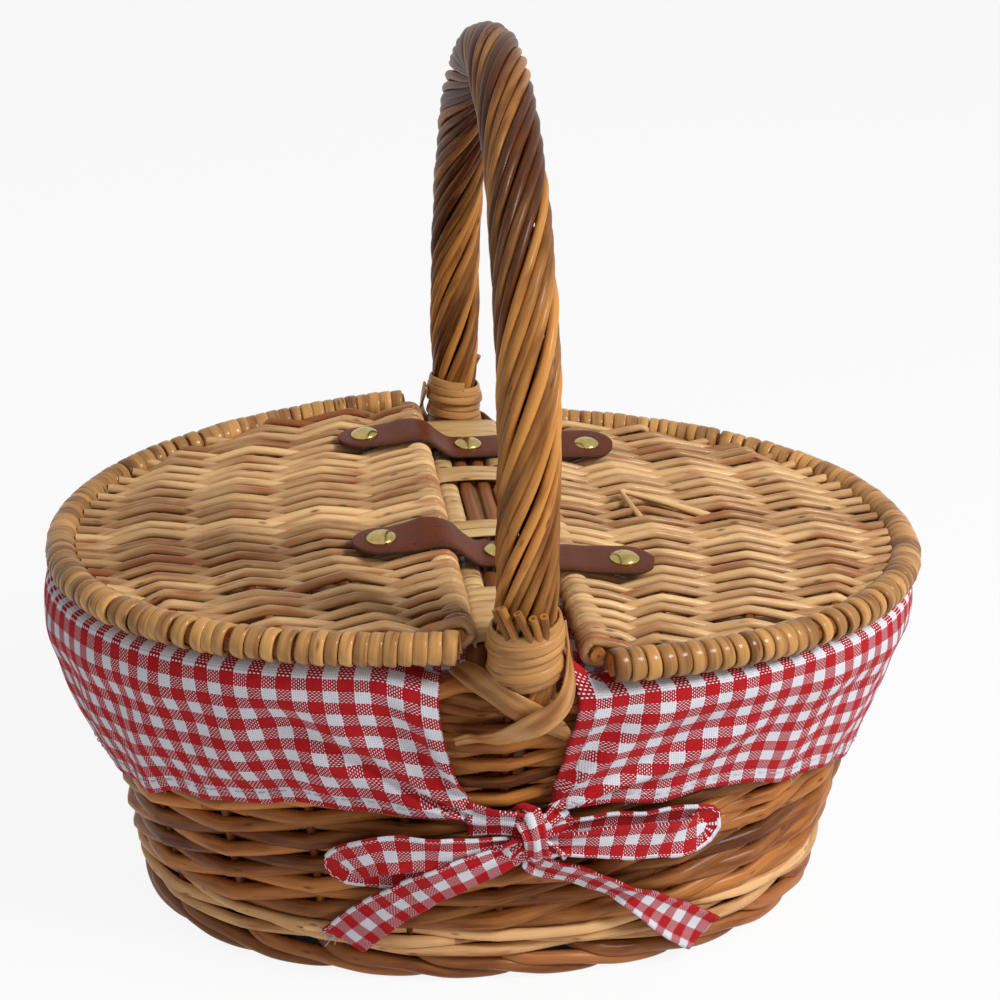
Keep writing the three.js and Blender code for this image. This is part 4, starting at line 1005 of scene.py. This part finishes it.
for side, form in SKIRTS.items():
    turn = 1 if side == "right" else -1
    down_flap = np.concatenate([np.linspace(-0.31, -0.015, 14), np.linspace(0, 1, 45)])
    s, v = np.meshgrid(np.linspace(-0.5, 0.5, 301), down_flap)
    grid = skirt_point(form, turn, s, v)
    length = float(length_along(grid[16])[-1])
    uv = np.stack([(s + 0.5) * length, v * FLAP], -1)
    flap = cloth_sheet(f"skirt_{side}_cloth", grid, uv)
    joined_on(flap, "basket", "gingham", f"skirt_{side}")

    # One row of stitches above the hem and one up each end, then the threads that have come loose
    stitches = Bundle(6)
    for k in range(88):
        s0 = -0.485 + 0.97 * k / 88 + 0.0008 * rng.normal()
        t = np.linspace(s0, s0 + 0.0062, 5)
        ridge = 0.00055 + 0.00025 * np.sin(np.linspace(0, np.pi, 5))
        stitches.lay(skirt_point(form, turn, t, np.full(5, STITCH_LINE), ridge), 0.00042, tone=0, wobble=0)
    for end in (-1, 1):
        for k in range(11):
            v0 = 0.06 + 0.084 * k
            t = np.linspace(v0, v0 + 0.04, 5)
            near = np.full(5, end * (0.5 - 0.0125))
            stitches.lay(skirt_point(form, turn, near, t, 0.0007), 0.00042, tone=0, wobble=0)
    for k in range(26):
        if k < 16:
            s0, v0 = rng.uniform(-0.5, 0.5), 1.0
        else:
            s0, v0 = 0.5 * rng.choice([-1, 1]), rng.uniform(0.1, 1)
        root = skirt_point(form, turn, np.array([s0]), np.array([v0]))[0]
        way = rng.normal(size=3) * [0.4, 0.4, 0.3] + ([0, 0, -1] if k < 16 else [-turn * 0.8, 0, -0.3])
        bend = rng.normal(size=3) * 0.4
        t = np.linspace(0, 1, 6)[:, None] * rng.uniform(0.0004, 0.0014)
        stitches.lay(root + way * t + bend * t * t * 250, 0.00018, tone=0, wobble=0)
    stitches.make(f"skirt_{side}_thread", THREADS, "basket", "gingham")

# Liner
# Inside, the same cotton makes a bag: a flat bottom panel, sides that follow the wall, and an edge
# rolled over the rim. It is cut low where the handle comes down.
columns = 300
angle = angle_at(np.arange(columns) / columns)
LINER_FLOOR, LINER_DEPTH, LINER_ROLL = 0.0140, -0.0104, 0.0069
LINER_GIRTH, LINER_CUT = 0.88, 0.108
profile = [(a, LINER_FLOOR) for a in (0.001, 0.040, 0.080, 0.110, 0.1265)] + [(0.1300, 0.0165)]
profile += [(wall_line(z) + LINER_DEPTH, z) for z in np.linspace(0.024, 0.118, 14)]
profile += [(RIM_REACH + LINER_ROLL * math.cos(a), RIM_MIDDLE + LINER_ROLL * math.sin(a))
            for a in np.radians(np.linspace(172, 8, 13))]
grid, uv, run = [], [], 0.0
for k, (a, z) in enumerate(profile):
    if k:
        run += math.hypot(a - profile[k - 1][0], z - profile[k - 1][1])
    soft = np.clip((z - 0.016) / 0.03, 0, 1) * np.clip((0.122 - z) / 0.02, 0, 1)
    inward = soft * (0.0022 * np.sin(11 * angle + 30 * z) ** 2 + 0.0012 * np.sin(23 * angle - 60 * z) ** 2)
    x, y = oval(np.maximum(a - inward, 0.001), angle)
    grid.append(np.stack([x, y, z + sheer(x, np.full(columns, z))], 1))
    uv.append(np.stack([np.arange(columns) / columns * LINER_GIRTH, np.full(columns, run)], 1))
grid, uv = np.array(grid), np.array(uv)
middle = (grid[:-1] + grid[1:]) / 2
facing = np.sign(middle[..., 1]) * middle[..., 0]
# Beside each foot of the handle, what would stand above the cut is left out
by_handle = (facing > -0.027) & (facing < 0.031) & (np.abs(middle[..., 1]) > 0.05)
skip = by_handle & (middle[..., 2] > LINER_CUT)
liner = cloth_sheet("liner_cloth", grid, uv, skip=skip, wrap=True, level_rows=5)
joined_on(liner, "basket", "gingham", "liner_bag")

# Bows
# Two tapes of the same cotton, folded and stitched, are sewn to the flaps' lower corners and tied in
# a bow in front, and another pair behind: a knot, two flattened loops and two tails.
TAPE = 0.0165
rng = np.random.default_rng(44)


def tape(points, widths, twist=(0, 0), pleat=(0.0, 0.0), start=0.0, cup=0.0, shift=0.0, ragged=0.0):
    """A length of tape laid on the wall. Points are x, z and the distance off the wall, in
    millimetres. It can be twisted, gathered into pleats at its two ends, and cut off ragged."""
    p = smooth_line(np.array(points, float) * 0.001, 0.0011)
    n = len(p)
    line = np.column_stack([p[:, 0], beside_wall(p[:, 0], p[:, 1], p[:, 2]), p[:, 1]])
    along = unit(np.gradient(line, axis=0))
    wall_out = unit(np.column_stack([line[:, 0] * 0.55, line[:, 1], np.full(n, -0.018)]))
    flat_side = unit(np.cross(along, wall_out))
    for k in range(1, n):
        if np.dot(flat_side[k], flat_side[k - 1]) < 0:
            flat_side[k] *= -1
    out = np.cross(flat_side, along)
    t = np.linspace(0, 1, n)
    spin = np.interp(t, np.linspace(0, 1, len(twist)), np.radians(twist))[:, None]
    side = flat_side * np.cos(spin) + out * np.sin(spin)
    up = out * np.cos(spin) - flat_side * np.sin(spin)
    wide = np.interp(t, np.linspace(0, 1, len(widths)), widths) * 0.00118
    length = length_along(line)
    q = np.linspace(-1, 1, 15)
    gather = pleat[0] * np.exp(-length / 0.010) + pleat[1] * np.exp(-(length[-1] - length) / 0.010)
    ridge = np.cos(q * 7.2)[None] * gather[:, None] * 0.001
    hem = 0.00035 * np.clip((np.abs(q) - 0.72) / 0.12, 0, 1)[None]
    curl = cup * 0.001 * (q ** 2)[None] + 0.0004 * np.sin(length * 210 + 1.3)[:, None] * q[None]
    crease = 0.0003 * np.sin(length[:, None] * 330 + 3 * q[None])
    lift = ridge + hem + curl + crease
    grid = line[:, None] + side[:, None] * (wide / 2)[:, None, None] * q[None, :, None]
    grid = grid + up[:, None] * lift[..., None]
    if ragged:
        grid[-1] += along[-1] * (ragged * 0.001 * (np.sin(q * 9) * 0.3 + q * 1.2))[:, None]
    u, v = np.broadcast_arrays(length[:, None] + start, (q + 1) / 2 * TAPE + shift)
    return grid, np.stack([u, v], -1), length[-1]


def one_mesh(name, sheets, turn):
    """Several lengths of tape as one mesh."""
    made = [cloth_sheet(f"{name}_{k}", grid * turn, uv, 0.0011) for k, (grid, uv, _) in enumerate(sheets)]
    bpy.ops.object.select_all(action="DESELECT")
    for obj in made:
        obj.select_set(True)
    bpy.context.view_layer.objects.active = made[0]
    if len(made) > 1:
        bpy.ops.object.join()
    made[0].name = name
    made[0].data.name = name
    bpy.ops.object.select_all(action="DESELECT")
    return made[0]


BOW = {
    "loop_left": [
        tape([(1.5, 74.5, 6.5), (-6, 73.5, 7.2), (-21.4, 71.5, 8.2), (-34.5, 71.8, 8.8), (-47.6, 70.4, 8.6),
              (-56.5, 66.5, 7.6), (-61.2, 62, 5.4), (-61.4, 59, 3.4), (-57, 57, 2.4), (-44, 58, 2.3),
              (-28, 62, 2.4), (-10, 68, 3), (0, 71, 3.6)],
             (8.0, 10.5, 13.5, 14, 14, 13.5, 13, 13.5, 12.5, 10, 8), pleat=(1.4, 1.0),
             twist=(0, 4, -6, 0, 0), cup=0.5)],
    "loop_right": [
        tape([(9.0, 74.5, 6.5), (14, 74.2, 7.0), (24, 74.0, 8.0), (38.3, 73.0, 8.6), (54.0, 70.6, 8.4),
              (65.0, 69.0, 7.0), (70.2, 69.6, 4.8), (69.6, 72.0, 3.2), (63, 73.4, 2.6), (50, 74.2, 2.6),
              (34, 75.4, 2.8), (18, 76.4, 3.2), (8, 76, 3.8)],
             (7.5, 10, 13, 14, 14, 14, 13.5, 13, 13, 11, 8), pleat=(1.4, 1.0),
             twist=(0, -4, 6, 0, 0), cup=0.5, start=0.004)],
    "tail_left": [
        tape([(4, 74.5, 8.6), (-3.0, 71.2, 9.6), (-13.0, 66.6, 10.6), (-27.4, 58.4, 10.8), (-38, 50.0, 9.0),
              (-50, 37.0, 5.6), (-62.0, 20.5, 2.6)],
             (6.5, 9, 11.5, 13, 13.8, 14.4, 15), pleat=(1.6, 0), twist=(-12, -6, 4, -3, 0), cup=-0.6,
             start=0.002, ragged=1.6)],
    "tail_right": [
        tape([(4.5, 70, 7.6), (8.5, 64, 5.6), (15.5, 59.5, 3.8), (26.0, 54.6, 3.2), (38.6, 46.4, 3.4),
              (50.5, 36.4, 3.2), (64.2, 23.2, 2.6), (77.6, 11.8, 3.0)],
             (7, 9.5, 11, 9.0, 8.6, 11.5, 14, 14.4), pleat=(1.6, 0),
             twist=(8, -18, -34, -24, 6, 14, 0), cup=0.7, start=0.006, shift=0.0013, ragged=-1.5)],
    "knot": [
        tape([(2.4, 86.5, 2.6), (2.8, 88.0, 6.2), (4.0, 86.0, 9.8), (5.6, 81.0, 12.0), (6.4, 75, 12.2),
              (7.0, 70.0, 10.4), (7.0, 67.2, 6.6), (6.6, 67.0, 2.8)],
             (7.0, 8.6, 7.4, 6.4, 6.8, 8.0, 7.0), pleat=(0.9, 1.0), twist=(0, 16, -12, 0), cup=-1.6),
        tape([(-17.6, 84.0, 2.6), (-10.5, 84.0, 4.6), (-3.5, 84.4, 6.2), (4.5, 83.0, 7.2)],
             (12.5, 10.5, 9.6, 8.5), pleat=(0.9, 1.3), cup=-0.8, start=0.003),
        tape([(18.0, 86.5, 2.8), (14.0, 83.6, 4.8), (10.0, 81.6, 6.4), (3.0, 80.0, 7.0)],
             (13.5, 10.5, 9, 8), pleat=(0.9, 1.4), cup=-0.9, start=0.007),
        tape([(-6.5, 68.5, 4.6), (-3.5, 71.8, 8.8), (0.5, 75.0, 9.6), (6.0, 76.0, 9.0)],
             (10, 9.5, 8.5, 7), pleat=(1.1, 1.4), twist=(-28, -12, 0), cup=-1.4, start=0.011),
        tape([(-1.5, 63.8, 4.4), (0.5, 68, 8.6), (3.5, 72.0, 9.4), (7.0, 75.0, 8.8)],
             (9, 8.5, 8, 6), pleat=(1.0, 1.2), twist=(-40, -18, 0), cup=-1.2, start=0.001),
        tape([(13.8, 66.5, 4.6), (11.5, 70.5, 8.2), (8.5, 73.5, 9.2), (4.0, 76.0, 8.8)],
             (8.5, 8.5, 7.5, 6.5), pleat=(1.0, 1.2), twist=(30, 14, 0), cup=-1.2, start=0.005)],
}
for where, turn in (("front", (1, 1, 1)), ("back", (-1, -1, 1))):
    for part, sheets in BOW.items():
        obj = one_mesh(f"bow_{where}_{part}_cloth", sheets, turn)
        joined_on(obj, "basket", "gingham", f"bow_{where}_{part}")
        total = sum(length for _, _, length in sheets)

    # The tails' cut ends have begun to fray
    fray = Bundle(5)
    for key, count, reach in (("tail_left", 26, 0.0062), ("tail_right", 12, 0.0020)):
        grid = BOW[key][0][0] * turn
        for k in range(count):
            j = rng.integers(0, grid.shape[1] - 1)
            root = grid[-1, j] + (grid[-1, j + 1] - grid[-1, j]) * rng.uniform()
            way = grid[-1, j] - grid[-3, j]
            way = way / np.linalg.norm(way) + rng.normal(size=3) * 0.28
            low = 1.0 if j > grid.shape[1] // 2 else 0.45
            t = np.linspace(-0.15, 1, 7)[:, None] * rng.uniform(0.25, 1) * reach * low
            bend = rng.normal(size=3) * 0.5
            fray.lay(root + way * t + bend * t * t * 90, 0.00034, tone=0, wobble=0)
    fray.make(f"bow_{where}_fray", THREADS, "basket", "gingham")

# Straps
# Two straps of red-brown leather hold the lids: one length each, with rounded ends and dark raw
# edges, riveted to both lids and in the middle to the bridge. Each is made as two halves that meet at
# the middle rivet.
leather, tree, shader = new_material("red-brown leather", Specular_IOR_Level=0.1, Coat_Weight=0.03,
                                     Coat_Roughness=0.35)
where = node(tree, "ShaderNodeTexCoord").outputs["Object"]
pores = node(tree, "ShaderNodeTexVoronoi", inputs={"Vector": where, "Scale": 1500.0}).outputs["Distance"]
cloudy, fine = noise(tree, where, 150.0, 4.0), noise(tree, where, 1400.0, 3.0)
skin = mixed(tree, cloudy, srgb(74, 32, 14), srgb(116, 55, 27))
skin = mixed(tree, value(tree, "MULTIPLY", pores, 0.35, clamp=True), skin, srgb(84, 36, 16))
skin = mixed(tree, ramp(tree, noise(tree, where, 420.0, 1.0), 0.70, 0.76, 0.0, 0.8), skin, srgb(58, 26, 18))
raw = node(tree, "ShaderNodeAttribute", attribute_name="tone").outputs["Fac"]
edge = ramp(tree, raw, 0.34, 0.6, 0.0, 1.0)
skin = mixed(tree, edge, skin, mixed(tree, fine, srgb(46, 24, 18), srgb(112, 74, 58)))
link(tree, skin, shader.inputs["Base Color"])
rough = value(tree, "MULTIPLY_ADD", cloudy, 0.25, 0.32)
link(tree, value(tree, "MULTIPLY_ADD", edge, 0.35, rough), shader.inputs["Roughness"])
height = value(tree, "MULTIPLY_ADD", pores, 0.6, value(tree, "MULTIPLY", fine, 0.5))
bumped(tree, shader, height, 0.7, 0.00018)

# How far a strap leans along its way, and its three rivets' places in millimetres
CURLS = {"front": (0.02, 0.17, 0.0, 0.0, 0.05), "back": (0.0, 0.08, 0.0, 0.0, 0.16)}
RIVETS = {"front": [(-43.2, -41.5), (0.4, -42), (46.8, -48)], "back": [(-43, 64.5), (0.4, 66), (51, 68)]}
STRAP_HALF, STRAP_SIDES = 0.0106, 24
STRAP_LIFT = 6.65  # from a lid's middle plane up to the strap's middle, in millimetres
for where_at, places in RIVETS.items():
    px, py = zip(*places)
    left, right = px[0] - 11.5, px[2] + 11.5
    knots = [(x, lid_height("lid_left", x * 0.001) * 1000 + STRAP_LIFT) for x in (left, -48, -40, -32)]
    knots += [(-25.5, 166.2), (-21, 166.4), (-16.6, 165.1), (-12.2, 161.4), (-7.6, 158.5), (-2.5, 157.95),
              (7, 157.85), (15.5, 157.95), (21.6, 156.9), (27, 156.75)]
    knots += [(x, lid_height("lid_right", x * 0.001) * 1000 + STRAP_LIFT + 0.1)
              for x in (33, 40, right - 6, right)]
    line = smooth_line([(x, float(np.interp(x, px, py)), z) for x, z in knots], 0.6) * 0.001
    length = length_along(line)
    # Its points lie closer together at both ends, which are half round
    at = np.concatenate([np.linspace(0, 0.004, 22), np.arange(0.005, length[-1] - 0.0045, 0.0009),
                         length[-1] - np.linspace(0.004, 0, 22)])
    line = np.column_stack([np.interp(at, length, line[:, k]) for k in range(3)])
    near_end = np.minimum(at, length[-1] - at)
    short = np.maximum(0, STRAP_HALF - near_end)
    wide = 2 * np.sqrt(np.maximum(STRAP_HALF ** 2 - short ** 2, 0)) * (1 + 0.012 * np.sin(at * 180))
    wide = np.maximum(wide, 0.0016)
    up = unit(np.cross(np.gradient(line, axis=0), [0, 1, 0]))
    curl = np.interp(line[:, 0], [-0.040, -0.028, -0.014, 0.024, 0.038], CURLS[where_at])
    up[:, 1] -= curl
    line = line + np.outer(0.0085 * np.abs(curl), [0, 0, 1])
    middle = int(np.argmin(np.abs(line[:, 0] - 0.0004)))
    for name, part in (("left", slice(0, middle + 1)), ("right", slice(middle, None))):
        body = f"lid_{name}"
        strip = Bundle(STRAP_SIDES)
        strip.lay(line[part], wide[part], 0.0023, up=up[part], tone=0.0, square=0.42, wobble=0.0)
        obj = strip.make(f"strap_{where_at}_{name}_leather", leather, body, "leather")
        # The tone is how raw the leather is: the cut edges, the underside and the very ends
        height = np.sin(2 * np.pi * (np.arange(STRAP_SIDES) + 0.5) / STRAP_SIDES)
        raw = np.tile(np.where(height < -0.2, 0.9, 1 - np.abs(height) ** 0.8), len(line[part]))
        raw = np.maximum(raw, np.clip(1 - np.repeat(near_end[part], STRAP_SIDES) / 0.0006, 0, 1) * 0.9)
        tones = obj.data.attributes["tone"]
        data = np.zeros(len(tones.data), np.float32)
        data[:len(raw)] = raw
        tones.data.foreach_set("value", data)
        obj.parent = None
        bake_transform(obj)
        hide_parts(f"strap_{where_at}")

# Rivets
# Brass rivets with low domed heads, lightly tarnished and scratched, and washers underneath.
brass, tree, shader = new_material("aged brass", Metallic=1.0)
where = node(tree, "ShaderNodeTexCoord").outputs["Object"]
cloud = noise(tree, where, 320.0, 4.0)
scratch = noise(tree, stretched(tree, where, (300, 2600, 600)), 1.0, 2.0)
link(tree, mixed(tree, cloud, srgb(204, 182, 116), srgb(132, 110, 58)), shader.inputs["Base Color"])
rough = value(tree, "MULTIPLY_ADD", scratch, 0.14, 0.03)
link(tree, value(tree, "MULTIPLY_ADD", cloud, 0.2, rough), shader.inputs["Roughness"])
bumped(tree, shader, scratch, 0.25, 0.0001)


def pressed_disc(name, radius, rise, place, tilt, down):
    """A round brass pressing: a cylinder whose top is inset and lifted ring by ring into a dome."""
    bpy.ops.mesh.primitive_cylinder_add(vertices=40, radius=radius, depth=0.0006, location=(0, 0, 0.0003))
    made = bpy.context.object
    made.name = made.data.name = name
    bpy.ops.object.mode_set(mode="EDIT")
    work = bmesh.from_edit_mesh(made.data)
    bpy.ops.mesh.select_all(action="DESELECT")
    top = max(work.faces, key=lambda f: f.calc_center_median().z)
    top.select = True
    bmesh.update_edit_mesh(made.data)
    for inset, lift in ((0.06, 0.16), (0.12, 0.26), (0.18, 0.27), (0.2, 0.19), (0.2, 0.09), (0.14, 0.03)):
        bpy.ops.mesh.inset(thickness=inset * radius)
        bpy.ops.transform.translate(value=(0, 0, lift * rise))
    bpy.ops.object.mode_set(mode="OBJECT")
    made.rotation_euler = (math.pi if down else 0, tilt, 0)
    made.location = place
    bpy.ops.object.transform_apply(location=True, rotation=True, scale=True)
    bpy.ops.object.shade_smooth_by_angle(angle=math.radians(50))
    made.data.materials.append(brass)
    made.select_set(False)
    return made


for where_at, places in RIVETS.items():
    bodies = ("lid_left", "basket", "lid_right")
    for label, body, (_, y) in zip(("left", "middle", "right"), bodies, places):
        tilt = LIDS[body]["side"] * math.atan(LIDS[body]["slope"]) if body in LIDS else 0
        for kind, end, radius, rise, sunk in (("rivet", "head", 0.0058, 0.0023, 0.00255),
                                              ("rivet_ring", "burr", 0.0054, 0.0006, 0.0)):
            part = f"{kind}_{where_at}_{label}"
            low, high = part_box(part)
            place = (low[0] + high[0]) / 2, y * 0.001, high[2] - sunk
            disc = pressed_disc(f"{part}_{end}", radius, rise, place, tilt, down=end == "burr")
            joined_on(disc, body, "brass", part)

# Studio
# A pale floor, soft light and the photograph's camera.
view = bpy.data.cameras.new("camera")
view.lens, view.sensor_width = 74.48, 36
view.shift_x, view.shift_y = 0.0918, -0.0215
camera = bpy.data.objects.new("camera", view)
camera.location = (-0.0908, -0.7427, 0.4837)
camera.rotation_euler = Vector((0.0749, 0.9195, -0.3859)).to_track_quat("-Z", "Y").to_euler()
bpy.context.collection.objects.link(camera)
bpy.context.scene.camera = camera

bpy.ops.mesh.primitive_plane_add(size=6, location=(0, 0, 0))
floor = bpy.context.object
floor.name = "floor"


def seen_directly(tree):
    """1 for what the camera sees, in metal, gloss and glass too, and 0 for the light that it gives."""
    path = node(tree, "ShaderNodeLightPath").outputs
    seen = value(tree, "MAXIMUM", path["Is Camera Ray"], path["Is Glossy Ray"])
    return value(tree, "MAXIMUM", seen, path["Is Transmission Ray"])


paper, tree, shader = new_material("studio floor", Base_Color=srgb(238, 238, 238), Roughness=0.9)
glow = node(tree, "ShaderNodeEmission", inputs={"Color": (1, 1, 1, 1), "Strength": 1.0})
amount = value(tree, "MULTIPLY", seen_directly(tree), 0.9)
both = node(tree, "ShaderNodeMixShader", inputs={0: amount, 1: shader.outputs[0], 2: glow.outputs[0]})
link(tree, both.outputs[0], tree.nodes["Material Output"].inputs["Surface"])
floor.data.materials.append(paper)

world = bpy.data.worlds.new("studio")
bpy.context.scene.world = world
world.use_nodes = True
tree = world.node_tree
sky, white = [node(tree, "ShaderNodeBackground", inputs={
    "Color": (1, 1, 1, 1), "Strength": strength}).outputs[0] for strength in (0.30, 1.0)]
both = node(tree, "ShaderNodeMixShader", inputs={0: seen_directly(tree), 1: sky, 2: white})
link(tree, both.outputs[0], tree.nodes["World Output"].inputs["Surface"])


def lamp(name, place, size, power):
    data = bpy.data.lights.new(name, "AREA")
    data.shape, data.size, data.energy = "SQUARE", size, power
    obj = bpy.data.objects.new(name, data)
    bpy.context.collection.objects.link(obj)
    obj.location = place
    obj.rotation_euler = (Vector((0, 0, 0.15)) - Vector(place)).to_track_quat("-Z", "Y").to_euler()


lamp("key", (0.95, -0.75, 1.3), 0.5, 23)
lamp("fill", (-1.2, -0.7, 0.9), 1.2, 0.8)
bpy.context.scene.view_settings.view_transform = "Standard"
